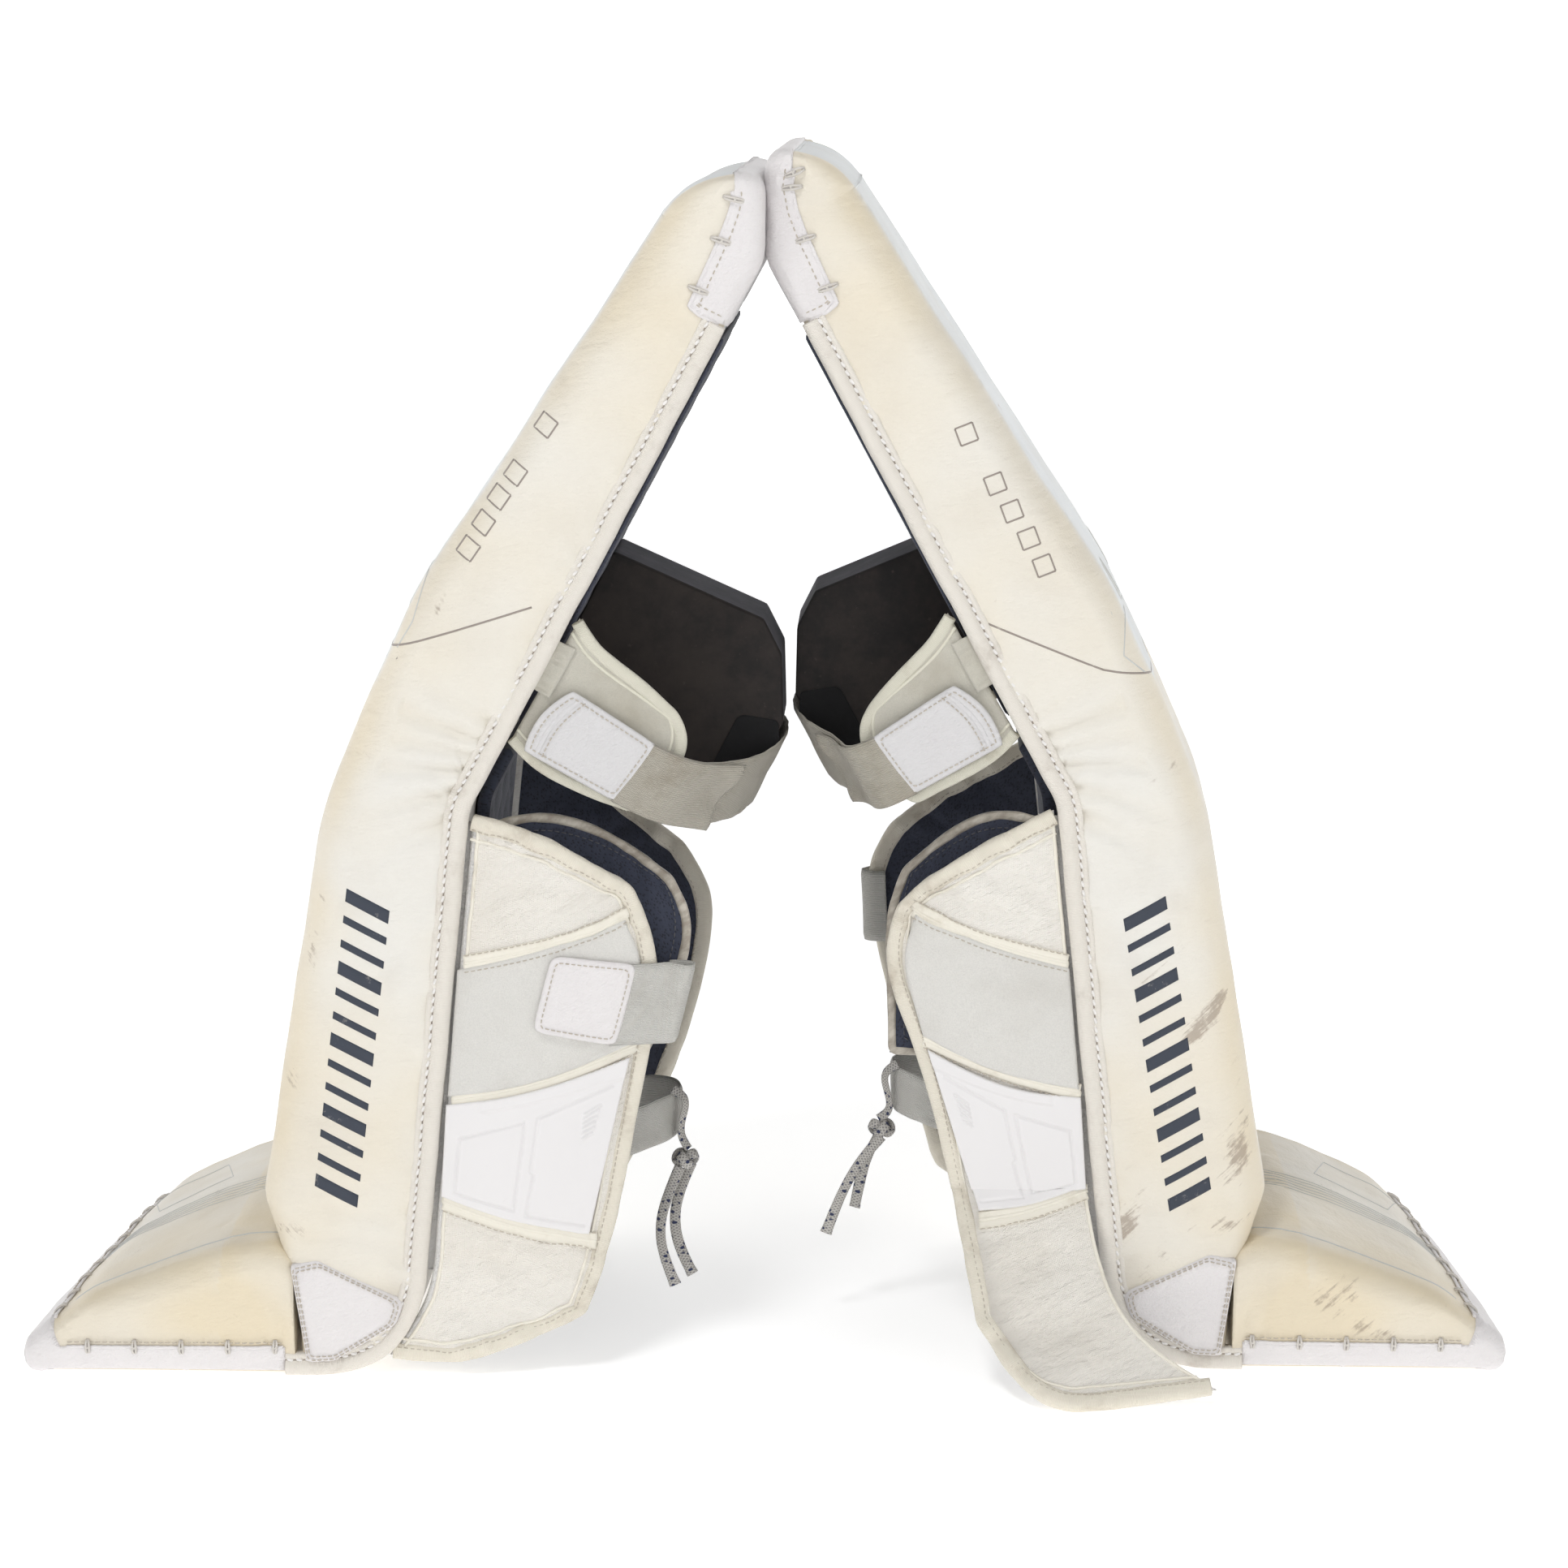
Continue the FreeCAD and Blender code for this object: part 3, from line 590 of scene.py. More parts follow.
def make_piece(name, side, points, faces, looks, face_look=None, uv=None, attributes=None):
    """A mesh object from points in the pad's frame; its normals are made to face outward."""
    mesh = bpy.data.meshes.new(f"{side}_{name}")
    mesh.from_pydata(to_frame(points, side).tolist(), [], faces)
    for look in looks:
        mesh.materials.append(LOOKS[look])
    if face_look is not None:
        mesh.polygons.foreach_set("material_index", np.asarray(face_look, np.int32))
    for key, values in (attributes or {}).items():
        values = np.asarray(values, np.float32).ravel()
        mesh.attributes.new(key, "FLOAT", "POINT").data.foreach_set("value", values)
    if uv is not None:
        corner = np.zeros(len(mesh.loops), np.int32)
        mesh.loops.foreach_get("vertex_index", corner)
        layer = mesh.uv_layers.new(name="weave")
        layer.data.foreach_set("uv", np.asarray(uv, np.float32).reshape(-1, 2)[corner].ravel())
    shape = bmesh.new()
    shape.from_mesh(mesh)
    bmesh.ops.recalc_face_normals(shape, faces=shape.faces)
    shape.to_mesh(mesh)
    shape.free()
    for face in mesh.polygons:
        face.use_smooth = len(face.vertices) == 4
    piece = bpy.data.objects.new(f"{side}_{name}", mesh)
    bpy.context.scene.collection.objects.link(piece)
    return piece


def put(side, name, part, look, body, slot, *nodes):
    """A piece of one look from its points, its faces and perhaps a map, joined to its body, or only baked in place
    for a joint.
    """
    points, faces, *rest = part
    piece = make_piece(name, side, points, faces, [look], uv=rest[-1] if rest else None)
    return follow(piece, side, body, slot, *nodes)


def sheet(grid, thickness, outward, edge=2.0, relief=None):
    """A closed soft sheet round a mid surface. Returns points, faces, a material number per face
    (0 outside, 1 inside, 0 on the rim) and a map in millimetres."""
    rows, columns = grid.shape[:2]
    normal = normals_of(grid, outward)
    nearest = np.minimum.reduce(edge_distances(grid))
    swell = np.sqrt(1 - (1 - np.clip(nearest / edge, 0, 1)) ** 2) * 0.8 + 0.2
    front = grid + normal * (thickness / 2 * swell)[..., None]
    back = grid - normal * (thickness / 2 * swell)[..., None]
    if relief is not None:
        front = front + normal * relief[..., None]
    count = rows * columns
    faces = grid_faces(rows, columns) + grid_faces(rows, columns, first=count)
    rim = [j for j in range(columns)] + [i * columns + columns - 1 for i in range(1, rows)]
    rim += [(rows - 1) * columns + j for j in range(columns - 2, -1, -1)]
    rim += [i * columns for i in range(rows - 2, 0, -1)]
    number = [0] * ((rows - 1) * (columns - 1)) + [1] * ((rows - 1) * (columns - 1)) + [0] * len(rim)
    for k, here in enumerate(rim):
        there = rim[(k + 1) % len(rim)]
        faces.append([here, there, there + count, here + count])
    down, _, along, _ = edge_distances(grid)
    uv = np.stack([along, down], -1).reshape(-1, 2)
    points = np.concatenate([front.reshape(-1, 3), back.reshape(-1, 3)])
    return points, faces, number, np.concatenate([uv, uv])


def path_frames(path, up):
    """Tangent, side and up vectors along a path; up is one vector or one for each point."""
    tangent = heading(path)
    across = unit(np.cross(tangent, np.broadcast_to(np.asarray(up, float), path.shape)))
    return tangent, across, np.cross(across, tangent)


def sweep(path, across, up, profile):
    """A closed bar along a path. The profile's points are (across, up), one set or one for each point."""
    profile = np.asarray(profile, float)
    if profile.ndim == 2:
        profile = np.broadcast_to(profile, (len(path), *profile.shape))
    points = path[:, None] + across[:, None] * profile[..., :1] + up[:, None] * profile[..., 1:]
    rows, columns = points.shape[:2]
    girth = np.linspace(0, 1, columns) * np.linalg.norm(np.diff(profile[0], axis=0), axis=1).sum()
    uv = np.stack(np.broadcast_arrays(girth[None, :], lengths(path)[:, None]), -1).reshape(-1, 2)
    return points.reshape(-1, 3), closed_loops(rows, columns), uv


def bar_along(path, normals, profile):
    _, across, up = path_frames(path, normals)
    return sweep(path, across, up, profile)


def ring(width, depth, count=12, power=2.0):
    """A rounded profile of the given full width and depth."""
    angle = np.arange(count) / count * 2 * math.pi
    c, s = np.cos(angle), np.sin(angle)
    return np.stack([np.sign(c) * np.abs(c) ** (2 / power) * width / 2,
                     np.sign(s) * np.abs(s) ** (2 / power) * depth / 2], -1)


# a thread's shape: shares of its length, height and thickness
THREAD_REACH = np.array([-0.5, -0.42, -0.18, 0.18, 0.42, 0.5])
THREAD_LIFT = np.array([-1.5, -0.1, 0.55, 0.55, -0.1, -1.5])
THREAD_THICK = np.array([0.6, 0.9, 1.0, 1.0, 0.9, 0.6])


def stitches(path, up, pitch=4.6, length=3.2, radius=0.42, tilt=0.0):
    """A row of short threads that dip into the surface at both ends."""
    path = evenly(path, 0.8)
    if np.ndim(up) == 2:
        up = at_shares(up, np.linspace(0, 1, len(path)))
    run = lengths(path)
    count = max(1, int(run[-1] / pitch))
    middle = (np.arange(count) + 0.5) / count * run[-1]

    def sample(values):
        return np.stack([np.interp(middle, run, values[:, k]) for k in range(3)], -1)

    centre, t, a, n = (sample(values)[:, None, None] for values in (path, *path_frames(path, up)))
    along = t * math.cos(tilt) + a * math.sin(tilt)
    beside = a * math.cos(tilt) - t * math.sin(tilt)
    turn = np.arange(6) / 6 * 2 * math.pi
    lift, thick = THREAD_LIFT[:, None] * radius, THREAD_THICK[:, None] * radius
    points = (centre + along * (THREAD_REACH * length)[None, :, None, None]
              + n * (lift + thick * np.sin(turn))[None, :, :, None]
              + beside * (thick * np.cos(turn))[None, :, :, None])
    one = closed_loops(len(THREAD_REACH), len(turn))
    size = len(THREAD_REACH) * len(turn)
    faces = [[v + k * size for v in face] for k in range(count) for face in one]
    return points.reshape(-1, 3), faces


def joined(parts):
    """Several (points, faces, ...) put into one."""
    points, faces, first = [], [], 0
    for part in parts:
        points.append(np.asarray(part[0]).reshape(-1, 3))
        faces += [[v + first for v in face] for face in part[1]]
        first += len(points[-1])
    return np.concatenate(points), faces


def merged(parts):
    """Several swept or sheet parts put into one, with their maps."""
    return *joined(parts), np.concatenate([part[-1] for part in parts])


# ---- which body a piece follows ----
KNEE = np.array([208.0, 0.0, 382.0])
KNEE_ALONG = np.array([-0.34, 0.0, 0.94])      # from the shin to the thigh
KNEE_REACH = 34            # how far the bend at the knee spreads each way
# where a calf flap's hinge starts and ends, on the near side; the far side mirrors it
FLAP_START = np.array([191.3, -135, 181.5])
FLAP_END = np.array([183.4, -135, 180.6])
ACROSS = np.array([1, -1, 1])
BOOT_START = np.array([284.0, 0.0, 30.0])
BOOT_END = np.array([304.0, 0.0, 30.0])


def follow(piece, side, body, slot, *nodes):
    """Ride a body; for a joint (knee, boot, or the near or far calf flap's hinge) the piece only has its transform
    baked.
    """
    blends = {
        "knee": ("shin", "thigh", KNEE - KNEE_ALONG * KNEE_REACH, KNEE + KNEE_ALONG * KNEE_REACH),
        "boot_bend": ("shin", "boot", BOOT_START, BOOT_END),
        "near_flap": ("shin", "outer_wrap", FLAP_START, FLAP_END),
        "far_flap": ("shin", "far_wrap", FLAP_START * ACROSS, FLAP_END * ACROSS),
    }
    if body in blends:
        first, second, start, end = blends[body]
        start, end = to_frame([start, end], side)
        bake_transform(piece)
    else:
        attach(piece, f"{side}_{body}")
    if nodes:
        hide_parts(*(f"{side}_{node}" for node in nodes))
    return piece


# ---- the padded skins ----
# the thigh top's rear and front corners; the right pad leans less, so its top is higher
TOPS = {
    "left": ([(15, 721.2), (2, 722, 12)], [(16.3, 721.2), (43, 719.5, 54)]),
    "right": ([(18.6, 733.4), (2, 736, 14)], [(18.9, 733.3), (40, 730, 48)]),
}
REAR_EDGE = [(2, 672, 30), (175, 350, 40), (212, 0, 72), (280, 0)]
FRONT_EDGE = [(207, 475, 200), (262, 352, 200), (304, 108, 22), (296, 79, 4), (286, 60, 8), (281, 5)]
LEG_MATCHES = [
    ((2, 706), (45, 711)), ((2, 692), (60, 693)), ((30, 620), (91, 653)),
    ((95, 499), (166, 537)), ((150, 396), (225, 435)), ((176, 345), (256, 369)), ((182, 285), (272, 294)),
    ((200, 114), (301, 125)), ((206, 62), (301, 97)), ((226, 22), (297, 78)), ((250, 5), (290, 68)),
    ((279, 0), (281, 6)),
]
SOLE_EDGE = [(285, 0), (447, 0, 6), (449.3, 8)]
BOOT_EDGE = [(285, 74), (297, 79, 6), (322, 77, 30), (414, 45, 60), (450, 18, 8), (449.7, 10)]
BOOT_MATCHES = [((285, 0), (285, 74)), ((330, 0), (330, 75)), ((400, 0), (400, 50)), ((432, 0), (436, 30)),
                ((449.3, 7), (449.7, 11))]
SKIN_HALF = 136.5          # half the skin's width at its edge, and how much its sides swell
SKIN_CROWN = 4.2

# scuffs on the near sides: (u, z, half length, half width, angle in degrees, strength)
SCUFFS = {
    "left": [(190, 471, 9, 3, -60, 1.0), (113, 566, 22, 4, 5, 0.55), (242, 384, 16, 11, 80, 0.9),
             (273, 276, 30, 5, 82, 1.1), (263, 296, 22, 5, 70, 0.8), (287, 186, 24, 8, 80, 0.5),
             (272, 140, 18, 12, 40, 0.4), (284, 92, 14, 6, 10, 0.9), (318, 34, 24, 8, 0, 0.8),
             (362, 16, 30, 5, 0, 0.6), (300, 96, 16, 5, 60, 0.7), (238, 30, 14, 5, 40, 0.7)],
    "right": [(135, 471, 9, 4, 30, 0.7), (236, 369, 22, 6, 25, 0.7), (262, 218, 34, 7, 50, 0.7),
              (276, 233, 30, 6, 50, 0.9), (237, 253, 24, 5, 40, 0.8), (271, 122, 34, 22, 60, 0.6),
              (293, 148, 30, 12, 75, 0.9), (218, 88, 26, 7, 80, 1.1), (236, 62, 22, 8, 60, 0.9),
              (344, 51, 28, 12, -15, 0.8), (372, 26, 26, 9, -20, 0.6), (299, 173, 24, 8, 80, 0.8),
              (212, 347, 16, 4, 20, 0.6), (398, 46, 22, 6, -15, 0.7), (285, 92, 22, 6, 10, 0.9)],
}


def rounded_path(corners):
    """The path round corners that may leave out their radius."""
    return rounded([(*c, 0) if len(c) == 2 else c for c in corners])


def matched_edges(rear, front, matches, pitch):
    """Pairs of points across a padded section, spaced about pitch along it."""
    rear, front = rounded_path(rear), rounded_path(front)

    def share(path, point):
        near = np.linalg.norm(path - np.array(point, float), axis=1).argmin()
        run = lengths(path)
        return run[near] / run[-1]

    rear_at = np.array([share(rear, a) for a, _ in matches])
    front_at = np.array([share(front, b) for _, b in matches])
    rear_at[0] = front_at[0] = 0.0
    rear_at[-1] = front_at[-1] = 1.0
    steps = np.diff(rear_at) * lengths(rear)[-1] + np.diff(front_at) * lengths(front)[-1]
    run = np.concatenate([[0], np.cumsum(steps / 2)])
    at = np.linspace(0, run[-1], int(run[-1] / pitch))
    return at_shares(rear, np.interp(at, run, rear_at)), at_shares(front, np.interp(at, run, front_at)), at


def padded_section(rear, front, run, front_radius, rear_radius, end_radius):
    """A grid of loops round a padded section: near side, front, far side, back.
    Returns the grid, each point's distance from the rear edge, and 1 on the two sides."""
    width = np.linalg.norm(front - rear, axis=1)[:, None]
    across = (front - rear) / (width + 1e-9)
    f = np.minimum(front_radius, 0.42 * width)
    r = np.minimum(rear_radius, 0.25 * width)
    part = np.clip(run / end_radius + 0.06, 0, 1)[:, None]
    half = SKIN_HALF - end_radius * (1 - np.sqrt(1 - (1 - part) ** 2)) * 0.8

    def corner(a, y, radius, start, count):
        angle = start + (np.arange(count)[None] + 0.5) / count * math.pi / 2
        return a + radius * np.cos(angle), y + radius * np.sin(angle)

    side, face, back = (np.linspace(*ends)[None] for ends in ((0, 1, 34), (-1, 1, 60), (1, -1, 26)))
    parts = [(r + (width - f - r) * side, -half + 0 * side), corner(width - f, f - half, f, -math.pi / 2, 9),
             (width + 0 * face, (half - f) * face), corner(width - f, half - f, f, 0, 9),
             (r + (width - f - r) * side[:, ::-1], half + 0 * side), corner(r, half - r, r, math.pi / 2, 4),
             (0 * width * back, (half - r) * back), corner(r, r - half, r, math.pi, 4)]
    a, y = (np.concatenate([pair[k] for pair in parts], 1) for k in (0, 1))
    on_side = np.concatenate([np.full(pair[0].shape, float(k in (0, 4))) for k, pair in enumerate(parts)], 1)
    share = np.clip(a / (width + 1e-9), 0, 1)
    full = np.clip(width / 60, 0, 1)
    outer = np.clip(np.abs(y) / half, 0, 1)
    y = y + np.sign(y) * SKIN_CROWN * (1 - (2 * share - 1) ** 2) * full * outer ** 6
    outer = np.clip(np.abs(y) / half, 0, 1)
    a = a + 4.0 * share ** 8 * (1 - outer ** 2) * full
    grid = np.stack([rear[:, :1] + across[:, :1] * a, y, rear[:, 1:] + across[:, 1:] * a], -1)
    return grid, a, on_side


def scuff_map(points, side):
    """How scuffed each point is: the marks on the near side, mild wear elsewhere."""
    u, y, z = points[..., 0], points[..., 1], points[..., 2]
    total = np.zeros(u.shape)
    for cu, cz, length, width, angle, strength in SCUFFS[side]:
        c, s = math.cos(math.radians(angle)), math.sin(math.radians(angle))
        a, b = (u - cu) * c + (z - cz) * s, (z - cz) * c - (u - cu) * s
        total += strength * np.exp(-(a / length) ** 2 - (b / width) ** 2)
    near = fall(y, -134, -118)
    front = np.clip(noise(points, 34, 6) * 2.2 - 0.5, 0, 0.75) * fall(z, 90, 330) * (1 - near)
    return total * near + front + np.clip(noise(points, 70, 5) * 1.6 - 0.25, 0, 0.4)


# creases where the knee bends: angle round a point behind the knee, half width, depth
CREASE_CENTRE = (118, 372)
CREASES = [(0.62, 0.05, 2.2), (0.40, 0.045, 3.4), (0.22, 0.04, 2.4), (0.03, 0.05, 3.8),
           (-0.2, 0.045, 2.7), (-0.43, 0.055, 3.0), (-0.72, 0.05, 1.8)]
SEAM_FROM_EDGE = 13.6


def leg_relief(grid, a, run, on_side):
    """Soft lumps, creases where the knee bends and puckers along the edge seam."""
    u, y, z = grid[..., 0], grid[..., 1], grid[..., 2]
    lumps = noise(grid, 70, 1) * 2.0 + noise(grid, 26, 2) * 0.8
    seam = np.abs(a - SEAM_FROM_EDGE)
    track = np.stack([run[:, None] + 0 * a, a * 0.3, np.sign(y) * 60], -1)
    puckers = noise(track, 8.0, 3) * fall(seam, 2, 26) * 2.0 + noise(track, 16.0, 4) * fall(seam, 8, 48) * 2.2
    back, up = u - CREASE_CENTRE[0], z - CREASE_CENTRE[1]
    angle = np.arctan2(up, back) + noise(grid, 40, 6) * 0.10
    creases = -sum(depth * np.exp(-((angle - middle) / width) ** 2) for middle, width, depth in CREASES)
    creases *= fall(np.hypot(back, up), 84, 150) * fall(np.abs(up), 45, 90)
    bottom = -1.5 * ridges(grid * np.array([0.5, 1, 1.2]), 24, 8) * fall(np.abs(z - 92), 4, 26)
    return lumps * 0.8 + (puckers + creases + bottom) * on_side


def skin_attributes(grid, side, boot):
    """How yellow each point of a skin is, how much painted cool light its faces between the sides get above the
    knee, how dark it is drawn, and how scuffed it is.
    """
    u, y, z = grid[..., 0], grid[..., 1], grid[..., 2]
    edge = fall(np.abs(np.abs(y) - 126), 3, 16)
    tint = 0.20 + noise(grid, 120, 9) * 0.6 + noise(grid, 42, 10) * 0.3 + 0.3 * edge
    tint += 0.175 * fall(np.abs(z - 430), 20, 120) * fall(np.abs(u - 150), 10, 60)
    tint += 0.30 * fall(z, 60, 200) * (u < 330)
    panel = np.zeros(u.shape)
    if boot:
        tint += 0.2 + 0.7 * np.exp(-((u - 335) / 45) ** 2 - ((z - 36) / 26) ** 2) * (y < 0)
    else:
        # painted light: the faces between the sides, above the knee, get a cool tone where they are lit
        # differently
        panel = fall(np.abs(y), 112, 122) * (z > 425) * 0.75
    # darker blotches, heavier near the rounded side edges, and darker towards the bottom
    darkening = np.clip(noise(grid, 34, 12) * 2.4 - 0.7, 0, 1) * (0.25 + 0.5 * edge) + fall(z, 4, 30) * 0.3
    return {"tint": np.clip(tint, 0, 1.3), "panel": panel, "darkening": np.clip(darkening, 0, 1),
            "grime": scuff_map(grid, side)}


def lift_loops(grid, relief):
    """Loops moved out along their normals by a relief."""
    normal = normals_of(grid, None, wrap=True)
    if ((grid - grid.mean(axis=1, keepdims=True)) * normal).sum() < 0:
        normal = -normal
    return grid + normal * relief[..., None]


def toe_taper(points):
    """The toe's far corner reaches less far than its near one."""
    points = np.array(points, float)
    share = np.clip((points[..., 1] + 139) / 278, 0, 1) ** 1.3
    points[..., 0] -= 26 * share * np.clip((points[..., 0] - 350) / 100, 0, 1)
    return points


def make_skins(side):
    """The leg's skin and the boot's skin; returns what the seams and prints are laid on."""
    rear_top, front_top = TOPS[side]
    matches = [(rear_top[0][:2], front_top[0][:2])] + LEG_MATCHES
    rear, front, run = matched_edges(rear_top + REAR_EDGE, front_top + FRONT_EDGE, matches, 3.1)
    leg, a, on_side = padded_section(rear, front, run, 24.0, 7.0, 20.0)
    leg = lift_loops(leg, leg_relief(leg, a, run, on_side))

    rear, front, run = matched_edges(SOLE_EDGE, BOOT_EDGE, BOOT_MATCHES, 2.6)
    boot, _, _ = padded_section(rear, front, np.full(len(run), 99.0), 15.0, 5.0, 20.0)
    relief = noise(boot, 60, 21) * 1.6 + noise(boot, 20, 22) * 0.6
    relief -= 1.8 * ridges(boot * np.array([1.6, 1, 0.7]), 34, 23) * fall(boot[..., 0], 296, 352)
    boot = lift_loops(boot, relief * (1 - fall(boot[..., 2], 1.5, 8)))

    laid_on = []
    for name, grid, shown, body, nodes in (
            ("leg_skin", leg, leg, "knee", ("thigh_cover", "thigh_core", "shin_cover", "shin_core")),
            ("boot_skin", boot, toe_taper(boot), "boot_bend", ("boot_cover", "boot_core"))):
        faces = closed_loops(*grid.shape[:2])
        piece = make_piece(name, side, shown, faces, ["skin"],
                           attributes=skin_attributes(shown, side, name == "boot_skin"))
        follow(piece, side, body, "cover_skin", *nodes)
        laid_on.append((grid, faces, BVHTree.FromPolygons(shown.reshape(-1, 3).tolist(), faces)))
    return laid_on


# ---- things laid on the skins ----
def cast(tree, points, direction, lift=0.0):
    """Points moved along a direction until they lie on a skin. Returns points and normals."""
    way = Vector(direction)
    spots, normals = [], []
    for point in points:
        spot, normal, _, _ = tree.ray_cast(Vector(point) - way * 300, way)
        if spot is None:
            spot, normal, _, _ = tree.find_nearest(Vector(point))
        if normal.dot(way) > 0:
            normal = -normal
        spots.append(np.array(spot) + np.array(normal) * lift)
        normals.append(np.array(normal))
    return np.array(spots), np.array(normals)


def laid(tree, path, sign=-1, lift=0.0):
    """A path (u, z) laid on a pad's side; sign is -1 for the near side. Returns points and normals."""
    return cast(tree, [(u, sign * HALF, z) for u, z in path], (0, -sign, 0), lift)


def inside(point, corners):
    """Whether a point's (u, z) is inside a polygon."""
    u, z = point[0], point[2]
    hit = False
    for (u0, z0), (u1, z1) in zip(corners, corners[1:] + corners[:1]):
        if (z0 > z) != (z1 > z) and u < (u1 - u0) * (z - z0) / (z1 - z0) + u0:
            hit = not hit
    return hit


COVER_RIM = 0.35           # how far a cover's edge stands off the skin
COVER_DEPTH = 0.8          # how far a cover's back lies inside the skin


def cut_cover(grid, faces, corners, thickness, keep=None):
    """A leather cover over part of a skin: inside a polygon of the side view, with clean edges."""
    shape = bmesh.new()
    made = [shape.verts.new(p) for p in grid.reshape(-1, 3)]
    for face in faces:
        shape.faces.new([made[k] for k in face])
    shape.normal_update()
    if shape.calc_volume(signed=True) < 0:
        bmesh.ops.reverse_faces(shape, faces=shape.faces)
    for (u0, z0), (u1, z1) in zip(corners, corners[1:] + corners[:1]):
        bmesh.ops.bisect_plane(shape, geom=shape.verts[:] + shape.edges[:] + shape.faces[:], dist=1e-4,
                               plane_co=(u0, 0, z0), plane_no=(z1 - z0, 0, u0 - u1))
    doomed = [f for f in shape.faces if not inside(f.calc_center_median(), corners)
              or (keep is not None and not keep(f.calc_center_median(), f.normal))]
    bmesh.ops.delete(shape, geom=doomed, context="FACES")
    shape.normal_update()
    edges = [e for e in shape.edges if e.is_boundary]
    rim = {v for e in edges for v in e.verts}
    for v in shape.verts:
        v.co += v.normal * (COVER_RIM if v in rim else thickness)
    shape.verts.index_update()
    outer = np.array([v.co for v in shape.verts])
    normals = np.array([v.normal for v in shape.verts])
    count = len(outer)
    made_faces = [[v.index for v in f.verts] for f in shape.faces]
    made_faces += [[v + count for v in reversed(f)] for f in made_faces]
    for e in edges:
        a, b = e.verts[0].index, e.verts[1].index
        made_faces.append([a, b, b + count, a + count])
    shape.free()
    return np.concatenate([outer, outer - normals * (thickness + COVER_DEPTH)]), made_faces


def hem(tree, corners, sign, width=3.2, inset=4.5):
    """The folded edge of a leather cover on one side: a soft bead and its stitch row."""
    path = evenly(np.array(corners, float), 1.5)
    points, normals = laid(tree, path, sign, 0.9)
    bead = bar_along(points, normals, ring(width, 1.9, 8))
    direction = heading(path)
    inner = path + np.stack([direction[:, 1], -direction[:, 0]], -1) * inset
    return bead, stitches(*laid(tree, inner, sign, 1.9), pitch=4.2, length=2.9)


STRAND_APART = 1.1         # half the gap between a tie's two strands


def tie(tree, u, z, direction, sign, reach=6.5):
    """A lace tie over a cover's edge: two strands side by side and a small knot."""
    c, s = math.cos(math.radians(direction)), math.sin(math.radians(direction))
    parts = []
    for beside in (-STRAND_APART, STRAND_APART):
        along = np.linspace(-reach, reach, 9)
        bow = beside * (1 - 0.6 * (along / reach) ** 2)
        path = np.stack([u + along * c - bow * s, z + along * s + bow * c], -1)
        points, normals = laid(tree, path, sign)
        points = points + normals * (2.6 - 2.4 * (along / reach) ** 4)[:, None]
        parts.append(bar_along(points, normals, ring(1.5, 1.2, 8)))
    points, normals = laid(tree, [(u - 1.6 * s, z + 1.6 * c), (u, z), (u + 1.6 * s, z - 1.6 * c)], sign, 2.6)
    parts.append(bar_along(points, normals, ring(1.6, 1.2, 8)))
    return joined(parts)


# the edge of the cap's side: from below the top, down its front and back to the rear edge
CAP_EDGE = {"left": [(17, 712), (16.5, 708), (18.5, 700), (23, 688), (42, 647), (36, 642), (26, 637)],
            "right": [(17, 724), (15.5, 714), (18.5, 700), (23, 688), (42, 647), (36, 642), (26, 637)]}
CAP_TIES = {"left": [(16, 708, 12), (23.5, 684, 18), (36.5, 656, 20)],
            "right": [(17, 722, 20), (15.5, 713, 8), (23.5, 684, 18), (36.5, 656, 20)]}
# the cap's outline in the side view
CAP_CORNERS = [(-30, 750), (17, 750), (16, 714), (18.5, 700), (23, 688), (42, 647), (36, 642), (24, 636.5),
               (-30, 611)]
TOE_LINE = 17.5


def make_cap(side, leg):
    grid, faces, tree = leg
    cover = cut_cover(grid, faces, CAP_CORNERS, 2.0)
    put(side, "cap", cover, "white", "thigh", "white_leather", "top_cap")
    beads, rows, ties = [], [], []
    for sign in (-1, 1):
        bead, row = hem(tree, CAP_EDGE[side], sign)
        beads.append(bead)
        rows.append(row)
        ties += [tie(tree, u, z, direction, sign) for u, z, direction in CAP_TIES[side]]
    put(side, "cap_hem", joined(beads), "white", "thigh", "white_leather")
    put(side, "cap_stitching", joined(rows), "thread", "thigh", "stitch_thread")
    put(side, "cap_ties", joined(ties), "tie", "thigh", "lace_cord", "cap_lacing")


TOE_CORNERS = [(291, -6), (470, -6), (470, 42), (434, 30), (428, TOE_LINE), (291, TOE_LINE)]
TOE_END = {-1: 424, 1: 402}            # where the side's binding meets the toe, near and far
TOE_TIE_PITCH = {-1: 28.5, 1: 28.5 * 0.86}
TOE_UP = np.array([0.6, 0.0, 0.8])     # out of the toe's slope, and down along it
TOE_DOWN = np.array([0.8, 0.0, -0.6])
TOE_HALF = 128


